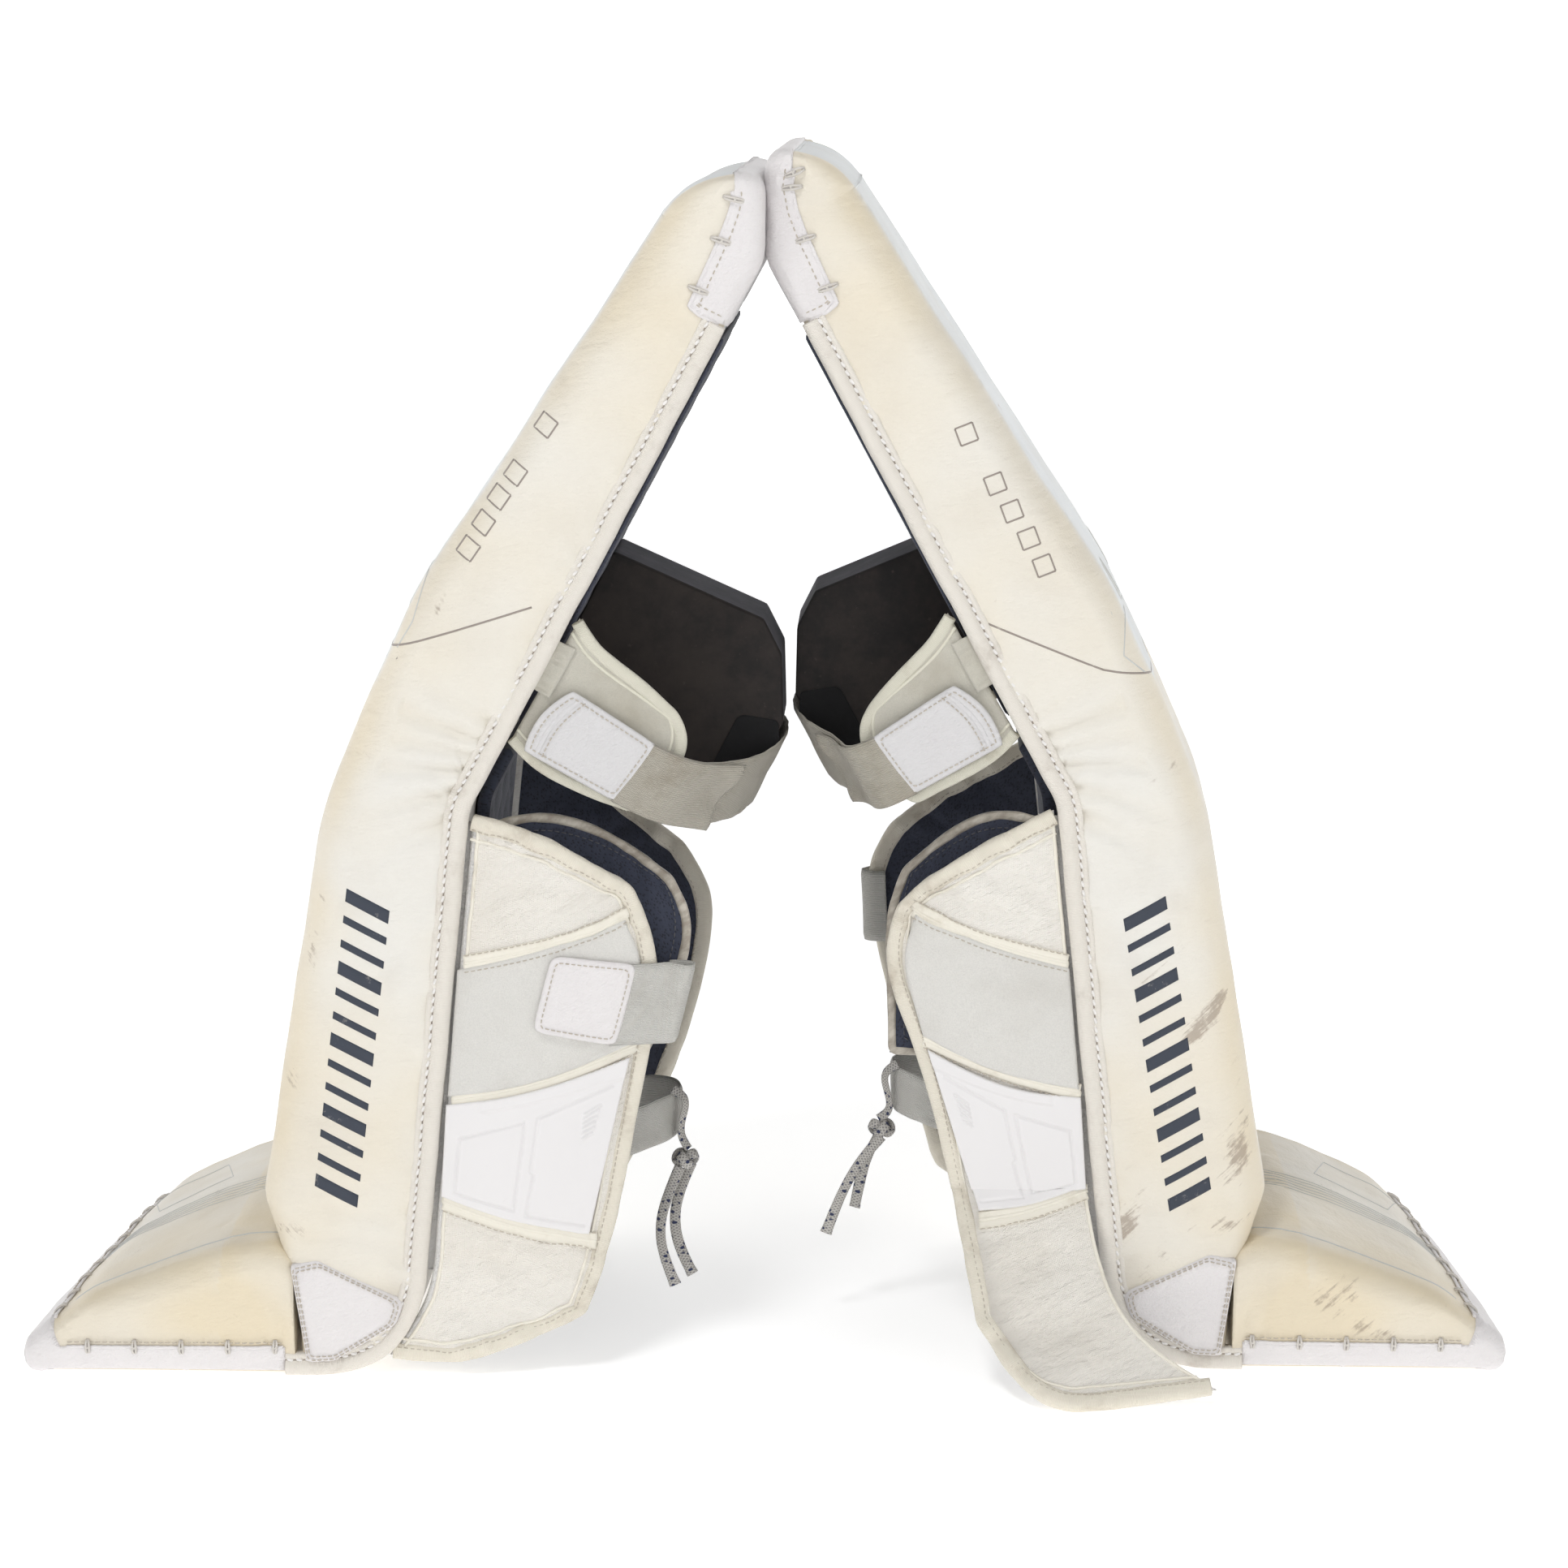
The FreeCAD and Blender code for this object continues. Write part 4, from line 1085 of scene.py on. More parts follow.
def make_toe(side, boot):
    grid, faces, tree = boot
    points, toe_faces = cut_cover(grid, faces, TOE_CORNERS, 1.6,
                                  keep=lambda centre, normal: normal[2] > -0.75 or centre[0] > 436)
    put(side, "toe_cover", (toe_taper(points), toe_faces), "white", "boot", "white_leather", "toe_binding")
    beads, rows, ties = [], [], []
    for sign in (-1, 1):
        bead, row = hem(tree, [(TOE_END[sign], TOE_LINE), (292, TOE_LINE)], sign, width=2.4, inset=3.4)
        beads.append(bead)
        rows.append(row)
        ties += [tie(tree, 297 + k * TOE_TIE_PITCH[sign], TOE_LINE, 90, sign, 4.5) for k in range(5)]
    line = np.array([[433.0, y, 31.0] for y in np.linspace(-TOE_HALF, TOE_HALF, 60)])
    edge = np.array([tree.find_nearest(Vector(p))[0] for p in toe_taper(line)], float)
    beads.append(bar_along(edge + TOE_UP * 0.9, TOE_UP, ring(2.6, 1.9, 8)))
    rows.append(stitches(edge + TOE_DOWN * 3.6 + TOE_UP * 1.3, TOE_UP, pitch=4.2, length=2.9))
    along = np.linspace(-5, 5, 9)[:, None]
    for y in np.linspace(-114, 114, 9):
        spot = at_shares(edge, [(y + TOE_HALF) / (2 * TOE_HALF)])[0]
        for beside in (-STRAND_APART, STRAND_APART):
            path = spot + TOE_DOWN * along + FAR * beside + TOE_UP * (2.6 - 2.0 * (along / 5) ** 4)
            ties.append(bar_along(path, TOE_UP, ring(1.5, 1.2, 8)))
    put(side, "toe_hem", joined(beads), "white", "boot", "white_leather")
    put(side, "toe_stitching", joined(rows), "thread", "boot", "stitch_thread")
    put(side, "toe_ties", joined(ties), "tie", "boot", "lace_cord", "toe_lacing")


# ---- rolled edge tape ----
TAPE_PATH = [(22.5, 634), (175, 350, 40), (212, 0, 72), (291, 0)]
# the tape's profile: distance from the rear edge, and how far it stands out from the side
TAPE_PROFILE = [(13.8, -3.0), (13.7, 0.2), (12.9, 1.2), (11.4, 1.4), (10.3, 0.8), (9.5, -0.3), (8.8, 0.7),
                (7.5, 2.3), (5.2, 3.3), (2.6, 3.1), (0.5, 1.7), (-0.8, -0.9), (-1.1, -4.4), (0.2, -8.0),
                (3.0, -10.4), (8.0, -11.0), (13.0, -8.0)]
TAPE_BASE = 138.2
TAPE_FOLDS = [34, 96, 141, 203, 251, 296, 318, 343, 371, 402, 447, 518, 590, 655, 712, 741]


def into_pad(path):
    """The way into the pad, square to a path (u, z) that runs down its rear edge."""
    direction = heading(path)
    return np.stack([-direction[:, 1], np.zeros(len(path)), direction[:, 0]], -1)


def make_tape(side):
    flat = evenly(rounded_path(TAPE_PATH), 1.1)
    run = lengths(flat)
    inward = into_pad(flat)
    tapes, rows, groove_shadow_cords = [], [], []
    for sign in (-1, 1):
        out = FAR * sign
        wave = noise(np.stack([run, run * 0, run * 0 + 50 * sign], -1), 26, 31)
        swell = 1 + 0.10 * wave
        for start in TAPE_FOLDS:
            behind = (run - start - 6 * sign) / 9.0
            swell += 0.12 * np.where(behind > 0, np.exp(-behind), np.exp(behind * 6))
        path = np.stack([flat[:, 0], run * 0 + sign * TAPE_BASE, flat[:, 1]], -1)
        path = path + inward * (wave * 0.9)[:, None]
        profile = np.array(TAPE_PROFILE)[None].repeat(len(path), 0)
        raised = profile[..., 1] > 0
        profile[..., 1] *= np.where(raised, swell[:, None], 1)
        tapes.append(sweep(path, inward, np.broadcast_to(out, path.shape), profile))
        rows.append(stitches(path + inward * 9.7 + out * 0.35, out, pitch=5.6, length=4.3, radius=0.95,
                             tilt=0.30 * sign))
        # a dark cord laid in the groove under the stitches: painted shadow in the seam's groove
        groove_shadow_cords.append(bar_along(path + inward * 9.65, out, ring(2.4, 0.8, 8)))
    put(side, "edge_tape", merged(tapes), "tape", "knee", "edge_tape", "thigh_piping", "shin_piping")
    put(side, "edge_groove_shadow", joined(groove_shadow_cords), "groove", "knee", "edge_tape")
    put(side, "edge_stitching", joined(rows), "pale_thread", "knee", "stitch_thread")


# ---- ankle patches ----
def closed_outline(corners, pitch):
    """Points round a polygon (u, z, corner radius), starting in the middle of its last edge."""
    start = tuple((a + b) / 2 for a, b in zip(corners[-1][:2], corners[0][:2]))
    return evenly(rounded([start] + corners + [start], 1.0), pitch)[:-1]


PATCH_CORNERS = [(287, 70, 3), (270, 74, 7), (217, 48, 7), (222, 33, 9), (261, 9, 8), (278, 8, 4)]


# loops of an ankle patch: share of its outline, height over the pad's side
PATCH_LOOPS = [(0.02, 2.6), (0.2, 2.6), (0.4, 2.5), (0.6, 2.5), (0.75, 2.5), (0.86, 2.4), (0.94, 2.2),
               (0.975, 1.6), (1.0, -2.0)]


def make_ankle_patches(side):
    """White leather patches over the ankle joint, with two rows of stitching."""
    loop = closed_outline(PATCH_CORNERS, 1.6)
    centre = loop.mean(axis=0)
    parts, rows = [], []
    for sign in (-1, 1):
        grid = np.empty((len(PATCH_LOOPS), len(loop), 3))
        for i, (share, lift) in enumerate(PATCH_LOOPS):
            flat = centre + (loop - centre) * share
            soft = noise(np.stack([flat[:, 0], flat[:, 1], flat[:, 0] * 0 + sign * 40], -1), 18, 41) * 0.7
            grid[i] = np.stack([flat[:, 0], sign * (139.4 + lift + soft), flat[:, 1]], -1)
        parts.append((grid, closed_loops(*grid.shape[:2])))
        for share in (0.93, 0.865):
            flat = centre + (np.vstack([loop, loop[:1]]) - centre) * share
            path = np.stack([flat[:, 0], flat[:, 0] * 0 + sign * 142.4, flat[:, 1]], -1)
            rows.append(stitches(path, FAR * sign, pitch=3.6, length=2.5, radius=0.38))
    put(side, "ankle_leather", joined(parts), "white", "shin", "white_leather", "ankle_patches")
    put(side, "ankle_stitching", joined(rows), "thread", "shin", "stitch_thread")


# ---- prints on the skins ----
SQUARES = {
    "left": [(126, 578), (144, 550), (154, 536), (163, 521), (172, 506)],
    "right": [(118, 571), (135, 542), (145, 526), (155, 510), (164, 494)],
}
SQUARE_TURN = {"left": 80, "right": 66}
KNEE_LINES = {
    "left": [[(135, 472), (180, 458), (227, 444)], [(196, 497), (206, 462), (216, 446)]],
    "right": [[(127, 461), (200, 432), (232, 427)], [(214, 470), (212, 440), (226, 428)]],
}
BAR_AXES = {"left": ((258, 110), (234, 300)), "right": ((258, 104), (226, 292))}
BAR_COUNT = 13


def printed(tree, corner_grid, direction):
    """A thin film of ink over a grid of points, laid on a skin."""
    points, normals = cast(tree, corner_grid.reshape(-1, 3), direction)
    middle = (points - normals * 0.04).reshape(corner_grid.shape)
    return sheet(middle, 0.92, normals.mean(axis=0), edge=0.2)[:2]


def line_grid(path, width, lift_axis):
    """A strip of a given width along a path; lift_axis is the way the surface faces."""
    path = evenly(np.asarray(path, float), 2.0)
    _, across, _ = path_frames(path, lift_axis)
    return np.stack([path - across * width / 2, path, path + across * width / 2], axis=1)


def near_side(path):
    return np.array([(u, -HALF, z) for u, z in path], float)


# faint lines down the thigh's front: (y, width)
FRONT_LINES = [(-92, 1.1), (-70, 0.8), (-62, 0.8), (62, 0.8), (70, 0.8), (92, 1.1)]
# lines on the boot's top, faint ones first: (points, width)
BOOT_LINES = [([(298, y, 80), (428, y - 8, 80)], 0.55) for y in (-14, -8, -2, 4, 10, 16)]
BOOT_LINES += [([(352, 40, 80), (400, 34, 80), (412, 84, 80), (364, 92, 80), (352, 40, 80)], 0.55),
               ([(298, -104, 80), (424, -112, 80)], 2.2)]
SQUARE_REACH = 7.6


def make_prints(side, leg, boot):
    """Plain line prints, and a row of bars down the shin's near side."""
    tree = leg[2]

    def drawn_line(path, width):
        return printed(tree, line_grid(near_side(path), width, NEAR), FAR)

    outlines, bars, faint = [], [], []
    for u, z in SQUARES[side]:
        for k in range(4):
            turns = [math.radians(SQUARE_TURN[side] + 90 * (k + i)) for i in range(2)]
            ends = [(u + SQUARE_REACH * math.cos(t), z + SQUARE_REACH * math.sin(t)) for t in turns]
            outlines.append(drawn_line(ends, 1.05))
    outlines.append(drawn_line(KNEE_LINES[side][0], 1.2))
    faint.append(drawn_line(KNEE_LINES[side][1], 0.8))
    start, end = (np.array(p, float) for p in BAR_AXES[side])
    along = unit(end - start)
    lean = np.array([along[1], -along[0]]) * 13.5 + along * 5.0
    for k in range(BAR_COUNT):
        centre = start + (end - start) * (k + 0.5) / BAR_COUNT
        reach = 2.3 if k % 3 else 4.0
        flat = np.array([[centre + along * x * reach + lean * y for x in np.linspace(-1, 1, 7)]
                         for y in np.linspace(-1, 1, 15)])
        grid = np.stack([flat[..., 0], flat[..., 0] * 0 - HALF, flat[..., 1]], -1)
        bars.append(printed(tree, grid, FAR))
    front = [p for p in rounded_path(TOPS[side][1] + FRONT_EDGE) if 465 < p[1] < 690]
    for y, width in FRONT_LINES:
        path = np.array([(u, y, z) for u, z in front])
        faint.append(printed(tree, line_grid(path, width, (0.84, 0, 0.54)), (-0.84, 0, -0.54)))
    on_boot = [printed(boot[2], line_grid(path, width, (0, 0, 1)), (0, 0, -1)) for path, width in BOOT_LINES]
    put(side, "outline_prints", joined(outlines), "line", "knee", "print_ink")
    put(side, "bar_prints", joined(bars), "ink", "shin", "print_ink")
    put(side, "faint_prints", joined(faint), "faint_line", "knee", "print_ink")
    put(side, "boot_prints", joined(on_boot), "faint_line", "boot", "print_ink")


# ---- soft sheets: borders and seams ----
def border(grid, normal, inset):
    """The path at a distance inside a sheet's top, free and bottom edges, with the sheet's normals."""
    down, up, _, back = edge_distances(grid)
    both = np.concatenate([grid, normal], -1)
    rows, columns = grid.shape[:2]

    def at(distances, values):
        order = np.argsort(distances)
        return [np.interp(inset, distances[order], values[order][:, k]) for k in range(6)]

    path = [at(down[:, j], both[:, j]) for j in range(columns) if back[0, j] >= inset]
    path += [at(back[i], both[i]) for i in range(rows) if down[i, -1] >= inset and up[i, -1] >= inset]
    path += [at(up[:, j], both[:, j]) for j in range(columns - 1, -1, -1) if back[-1, j] >= inset]
    path = evenly(np.array(path), 1.2) if inset else np.array(path)
    for _ in range(3):
        path[1:-1] = (path[:-2] + 2 * path[1:-1] + path[2:]) / 4
    return path[:, :3], path[:, 3:]


def bound_edge(grid, normal, width, depth, swell):
    """A tape folded over a sheet's top, free and bottom edges."""
    path = evenly(np.concatenate(border(grid, normal, width / 2 - 1.2), 1), 1.1)[:, :3]
    near = BVHTree.FromPolygons(grid.reshape(-1, 3).tolist(), grid_faces(*grid.shape[:2]))
    outward = normal.reshape(-1, 3).mean(axis=0)
    normals = np.array([near.find_nearest(Vector(point))[1] for point in path])
    normals *= np.where(normals @ outward > 0, 1, -1)[:, None]
    run = lengths(path)
    rise = 1 + swell * noise(np.stack([run, run * 0, run * 0 + 9], -1), 14, 61)
    return bar_along(path, normals, ring(width, depth, 14, 3.0) * rise[:, None, None])


# ---- calf flaps ----
FLAP = 7.0
FLARE = {"left": 0.0, "right": 86.0}
BEND = {"left": 0.25, "right": 0.0}
ROOT_EDGE = [(172, 346), (182, 250), (191, 160), (198, 92)]
# each outline is its top, free, bottom and root edges
NEAR_EDGES = {
    "left": ([(172, 346), (144, 338), (107, 319), (80, 300)],
             [(80, 300), (67, 262), (69, 209), (79, 157), (95, 84), (110, 39)],
             [(228, 11), (200, 9), (165, 16), (110, 39)], ROOT_EDGE + [(204, 52), (228, 11)]),
    "right": ([(172, 346), (133, 325), (98, 301), (82, 284)],
              [(82, 284), (75, 256), (86, 212), (100, 172), (122, 90), (131, 43)],
              [(270, 11), (223, 5), (172, 6), (131, 43)], ROOT_EDGE + [(217, 45), (270, 11)]),
}
FAR_ROOT = [(170, 344)] + ROOT_EDGE[1:] + [(204, 52), (224, 16)]
FAR_EDGES = {
    "left": ([(170, 344), (149, 331), (97, 301), (65, 278)],
             [(65, 278), (46, 248), (46, 210), (59, 158), (82, 102), (108, 50)],
             [(224, 16), (200, 12), (160, 20), (108, 50)], FAR_ROOT),
    "right": ([(170, 344), (149, 331), (108, 306), (78, 283)],
              [(78, 283), (63, 256), (63, 224), (71, 185), (87, 120), (108, 50)],
              [(224, 16), (200, 12), (160, 20), (108, 50)], FAR_ROOT),
}
PANEL_EDGES = {
    "left": ([(182, 253), (126, 268), (84, 284)], [(84, 284), (76, 262), (77, 225), (81, 207)],
             [(189, 175), (141, 184), (81, 207)], [(182, 253), (189, 175)]),
    "right": ([(182, 250), (130, 266), (92, 283)], [(92, 283), (85, 256), (90, 228), (96, 207)],
              [(189, 175), (133, 189), (96, 207)], [(182, 250), (189, 175)]),
}
PLATE_EDGES = {
    "left": ([(190, 170), (145, 178), (82, 199)], [(82, 199), (107, 89)], [(194, 113), (155, 100), (107, 89)],
             [(190, 170), (194, 113)]),
    "right": ([(190, 170), (145, 178), (99, 199)], [(99, 199), (130, 98)], [(194, 113), (160, 102), (130, 98)],
              [(190, 170), (194, 113)]),
}
# width of the pale strip along each near flap's root
ROOT_STRIP = {"left": 4.5, "right": 1.5}
SEAMS = {
    "left": [[(183, 256), (122, 271), (70, 292)], [(190, 173), (145, 182), (74, 208)],
             [(195, 110), (157, 97), (96, 83)]],
    "right": [[(183, 253), (128, 269), (84, 289)], [(190, 173), (135, 189), (90, 208)],
              [(195, 110), (160, 99), (122, 92)]],
}


def hinge_line(z):
    return 173 + (349 - z) * 0.109


def folds(u, z, size, lean, seed):
    """Long soft folds running at an angle in the side view."""
    c, s = math.cos(math.radians(lean)), math.sin(math.radians(lean))
    along, across = u * c + z * s, z * c - u * s
    return noise(np.stack([along / 3.2, across, along * 0 + seed], -1), size, seed)


# folds of a flap's cloth: size, lean in degrees, seed shift, depth; by where they lie on the flap
LOWER_FOLDS = [(12, 24, 2, 2.8), (7, 34, 10, 1.6)]
UPPER_FOLDS = [(15, -28, 4, 6.0), (8, -38, 9, 2.0)]
SEAM_HEIGHTS = (272, 188, 96)


def flap_depth(u, z, side, near):
    """How far a flap's mid surface lies from the pad's centre plane, with its folds."""
    share = np.clip((hinge_line(z) - u) / 125, 0, 1)
    flare = FLARE[side] if near else 0.0
    depth = 131 + 5 * np.sin(math.pi * share) - 11 * share ** 2
    depth = depth + flare * np.clip((112 - z) / 112, 0, None) ** 1.2
    if not near:
        depth = depth - BEND[side] * np.clip(120 - u, 0, None)
    seed = 71 if near else 72
    lower, upper = fall(z, 70, 106), 1 - fall(z, 266, 286)
    soft = folds(u, z, 26, 14, seed) * (10.0 if flare else 7.0) * lower + folds(u, z, 40, 60, seed + 6) * 1.2
    for places, where in ((LOWER_FOLDS, lower), (UPPER_FOLDS, upper)):
        for size, lean, shift, height in places:
            soft = soft + folds(u, z, size, lean, seed + shift) * height * where
    puckers = noise(np.stack([u, z / 3, z * 0 + seed], -1), 9, seed + 8) * 2.4 * (lower + upper)
    for seam_z in SEAM_HEIGHTS:
        soft = soft + puckers * fall(np.abs(z - seam_z + (u - 130) * 0.15), 4, 22)
    return depth + soft * (1 - fall(share, 0.0, 0.16))


def on_flap(flat, side, near, lift=0.0):
    """Points and outward normals over a flap at (u, z) places."""
    flat = np.asarray(flat, float)
    u, z = flat[..., 0], flat[..., 1]
    sign = -1.0 if near else 1.0
    slope_u = flap_depth(u + 0.5, z, side, near) - flap_depth(u - 0.5, z, side, near)
    slope_z = flap_depth(u, z + 0.5, side, near) - flap_depth(u, z - 0.5, side, near)
    normal = unit(np.stack([-slope_u, np.full_like(u, sign), -slope_z], -1))
    points = np.stack([u, sign * flap_depth(u, z, side, near), z], -1)
    return points + normal * lift, normal


def grooves(flat, lines, width):
    """1 along the given lines (u, z), falling to 0 beside them."""
    nearest = np.full(flat.shape[:2], 1e9)
    for line in lines:
        for a, b in zip(line, line[1:]):
            a, b = np.array(a, float), np.array(b, float)
            t = np.clip(((flat - a) @ (b - a)) / ((b - a) @ (b - a)), 0, 1)
            nearest = np.minimum(nearest, np.linalg.norm(flat - (a + t[..., None] * (b - a)), axis=-1))
    return np.exp(-(nearest / width) ** 2)


# the plate's raised lines, as shares (across, down) of its outline
PLATE_LINES = [[(0.09, 0.36), (0.46, 0.24), (0.49, 0.92), (0.09, 0.91), (0.09, 0.36)],
               [(0.53, 0.22), (0.93, 0.14)],
               [(0.53, 0.22), (0.545, 0.62), (0.57, 0.65), (0.57, 0.94), (0.95, 0.95)]]


def plate_relief(over, down, flat):
    """The moulded plate's two outlined fields, stepped upper band and slanted ribs."""
    over, down = np.meshgrid(over, down)

    def at(o, d):
        i = np.hypot(over - o, (down - d) * 0.8).argmin()
        return tuple(flat.reshape(-1, 2)[i])

    raised = -0.9 * grooves(flat, [[at(*p) for p in line] for line in PLATE_LINES], 0.9)
    raised += 1.1 * (1 - fall(over, 0.17, 0.21)) * fall(down + 0.03 * np.sin(over * 3), 0.10, 0.135)
    for k in range(6):
        rib = [at(0.80 + 0.004 * k, 0.265 + 0.032 * k), at(0.885 - 0.002 * k, 0.235 + 0.032 * k)]
        raised += 0.9 * grooves(flat, [rib], 0.62)
    return raised


FLAP_STITCH = {"pitch": 3.9, "length": 2.8, "radius": 0.36}
FLAP_HALF = FLAP / 2
FLAP_CLOTH = FLAP - 1.4


def near_flap_seams(side, flat, grid, normal):
    """Cords and stitch rows on the near flap: along its edges, its root and its two or three seams."""
    path, normals = border(grid, normal, 7.6)
    rows = [stitches(path + normals * (FLAP_HALF + 0.75), normals, **FLAP_STITCH)]
    path, normals = border(grid, normal, 13.6)
    cords = [bar_along(path + normals * (FLAP_HALF - 0.5), normals, ring(1.8, 1.8, 8))]
    along = edge_distances(grid)[2]
    strip = ROOT_STRIP[side]
    root_line = [[np.interp(strip, along[i], flat[i, :, k]) for k in (0, 1)] for i in range(2, len(flat) - 2)]
    path, normals = on_flap(evenly(root_line, 2.0), side, True, FLAP_HALF - 0.7)
    cords.append(bar_along(path, normals, ring(2.2, 2.0, 8)))
    free = NEAR_EDGES[side][1]
    for line in SEAMS[side]:
        dense = evenly(spline(line, np.linspace(0, 1, 60)), 1.6)
        dense = np.array([(u, z) for u, z in dense if edge_of(free, z) + 7 < u < hinge_line(z) - strip])
        cords.append(bar_along(*on_flap(dense, side, True, FLAP_HALF + 0.2), ring(2.6, 2.2, 8)))
        for shift, lift in ((-5.2, 2.0), (4.6, 1.0)):
            path, normals = on_flap(dense + np.array([0, shift]), side, True, FLAP_HALF + lift)
            rows.append(stitches(path, normals, **FLAP_STITCH))
            path, normals = on_flap(dense + np.array([0, shift / 2]), side, True, FLAP_HALF - 0.1)
            cords.append(bar_along(path, normals, ring(5.4, 2.2, 10, 3.0)))
    put(side, "near_flap_cords", joined(cords), "seam", "near_flap", "flap_nylon")
    put(side, "near_flap_stitching", joined(rows), "thread", "near_flap", "stitch_thread")


def make_near_flap(side):
    top, free, bottom, root = NEAR_EDGES[side]
    flat = patch(top, bottom, root, free, shares(150, 0.3), shares(84, 0.3))
    grid, normal = on_flap(flat, side, True)
    points, faces, number, uv = sheet(grid, FLAP_CLOTH, NEAR, edge=3.0)
    by_root = (edge_distances(grid)[2][:-1, :-1] < ROOT_STRIP[side]).ravel()
    number = np.array(number)
    number[:len(by_root)][by_root] = 2
    flap = make_piece("near_flap_cloth", side, points, faces, ["nylon", "lining", "pale_nylon"], number, uv)
    follow(flap, side, "near_flap", "flap_nylon", "outer_calf_flap")
    tape = bound_edge(grid, normal, 10.5, FLAP + 2.2, 0.12)
    put(side, "near_flap_binding", tape, "flap_tape", "near_flap", "flap_nylon")
    near_flap_seams(side, flat, grid, normal)

    top, free, bottom, root = PANEL_EDGES[side]
    grid, _ = on_flap(patch(top, bottom, root, free, shares(60), shares(70)), side, True, FLAP_HALF + 0.9)
    panel = sheet(grid, 2.0, NEAR, edge=1.5, relief=noise(grid, 7, 81) * 0.35)
    put(side, "loop_pile", panel, "pile", "near_flap", "loop_pile", "calf_loop_panel")

    top, free, bottom, root = PLATE_EDGES[side]
    down, over = shares(190), shares(230)
    flat = patch(top, bottom, root, free, down, over)
    grid, _ = on_flap(flat, side, True, FLAP_HALF + 1.6)
    plate = sheet(grid, 2.6, NEAR, edge=1.4, relief=plate_relief(over, down, flat))
    put(side, "plate_face", plate, "plate", "near_flap", "moulded_plastic", "calf_plate")


def edge_of(free, z):
    """The free edge's u at a height."""
    path = spline(free, np.linspace(0, 1, 200))
    order = np.argsort(path[:, 1])
    return float(np.interp(z, path[order, 1], path[order, 0]))


def make_far_flap(side):
    top, free, bottom, root = FAR_EDGES[side]
    flat = patch(top, bottom, root, free, shares(120, 0.3), shares(64, 0.3))
    grid, normal = on_flap(flat, side, False)
    points, faces, number, uv = sheet(grid, FLAP_CLOTH, FAR, edge=3.0)
    flap = make_piece("far_flap_cloth", side, points, faces, ["nylon", "lining"], number, uv)
    follow(flap, side, "far_flap", "flap_nylon", "far_calf_flap")
    tape = bound_edge(grid, normal, 10.5, FLAP + 2.4, 0.14)
    put(side, "far_flap_binding", tape, "flap_tape", "far_flap", "flap_nylon")
    path, normals = border(grid, normal, 7.4)
    rows = [stitches(path + normals * facing * (FLAP_HALF + 0.8), normals * facing, **FLAP_STITCH)
            for facing in (1, -1)]
    put(side, "far_flap_stitching", joined(rows), "thread", "far_flap", "stitch_thread")


INNER_EDGES = {
    "left": ([(162, -116, 337), (142, -109, 341), (92, -100, 327), (58, -99, 302)],
             [(58, -99, 302), (47, -100, 277), (51, -105, 245), (75, -109, 190)]),
    "right": ([(162, -116, 337), (140, -109, 339), (110, -102, 325), (84, -99, 302)],
              [(84, -99, 302), (75, -100, 275), (74, -105, 245), (75, -109, 190)]),
}


def make_inner_flap(side):
    """The lining flap inside the near one, with a satin edge."""
    top, free = INNER_EDGES[side]
    bottom = [(180, -118, 200), (130, -110, 190), (75, -109, 190)]
    root = [(162, -116, 338), (180, -118, 200)]
    grid = patch(top, bottom, root, free, shares(70, 0.3), shares(64, 0.3))
    ripple = noise(grid * np.array([1.0, 0.3, 0.25]), 9, 91) * 1.5
    grid = grid + ripple[..., None] * NEAR * (1 - fall(edge_distances(grid)[3], 4, 20))[..., None]
    normal = normals_of(grid, NEAR)
    flap = put(side, "inner_flap_mesh", sheet(grid, 3.4, NEAR, edge=2.0), "lining", "near_flap", "dark_liner",
               "inner_calf_flap")
    tape = bound_edge(grid, normal, 5.6, 5.4, 0.3)
    put(side, "inner_flap_binding", tape, "satin", "near_flap", "dark_liner")
    path, normals = border(grid, normal, 9.0)
    row = stitches(path + normals * 1.9, normals, pitch=4.2, length=3.0, radius=0.36)
    put(side, "inner_flap_stitching", row, "dark_thread", "near_flap", "stitch_thread")


# ---- tabs and elastics ----
TAB = 3.0
TAB_STITCH = {"pitch": 3.5, "length": 2.5, "radius": 0.36}


def make_tab(name, side, body, grid, outward, corner, look):
    """A white leather hook tab with a stitched border."""
    grid = round_corners(grid, corner)
    leather = sheet(grid, TAB, outward, edge=2.2, relief=noise(grid, 22, 101) * 0.6)
    put(side, f"{name}_leather", leather, look, body, "white_leather", name)
    path, normals = closed_border(grid, normals_of(grid, outward), 3.6)
    row = stitches(path + normals * (TAB / 2 + 0.25), normals, **TAB_STITCH)
    put(side, f"{name}_stitching", row, "thread", body, "stitch_thread")


def round_corners(grid, share):
    """A grid with its four corners drawn in."""
    rows, columns = grid.shape[:2]
    x, y = np.linspace(-1, 1, columns)[None, :], np.linspace(-1, 1, rows)[:, None]
    pull = share * np.abs(x) ** 7 * np.abs(y) ** 7
    centre = grid.reshape(-1, 3).mean(axis=0)
    return grid + (centre - grid) * (pull * 1.6)[..., None]


def closed_border(grid, normal, inset):
    """The path at a distance inside all four edges of a sheet, with the sheet's normals."""
    path = np.concatenate(border(grid, normal, inset), 1)
    down, up, along, _ = edge_distances(grid)
    both = np.concatenate([grid, normal], -1)
    rows = [i for i in range(len(grid)) if down[i, 0] >= inset and up[i, 0] >= inset]
    root = [[np.interp(inset, along[i], both[i, :, k]) for k in range(6)] for i in reversed(rows)]
    sides = [row for row in path if np.linalg.norm(grid[:, 0] - row[:3], axis=1).min() >= inset - 0.2]
    whole = np.array(sides + root + sides[:1])
    return whole[:, :3], whole[:, 3:]


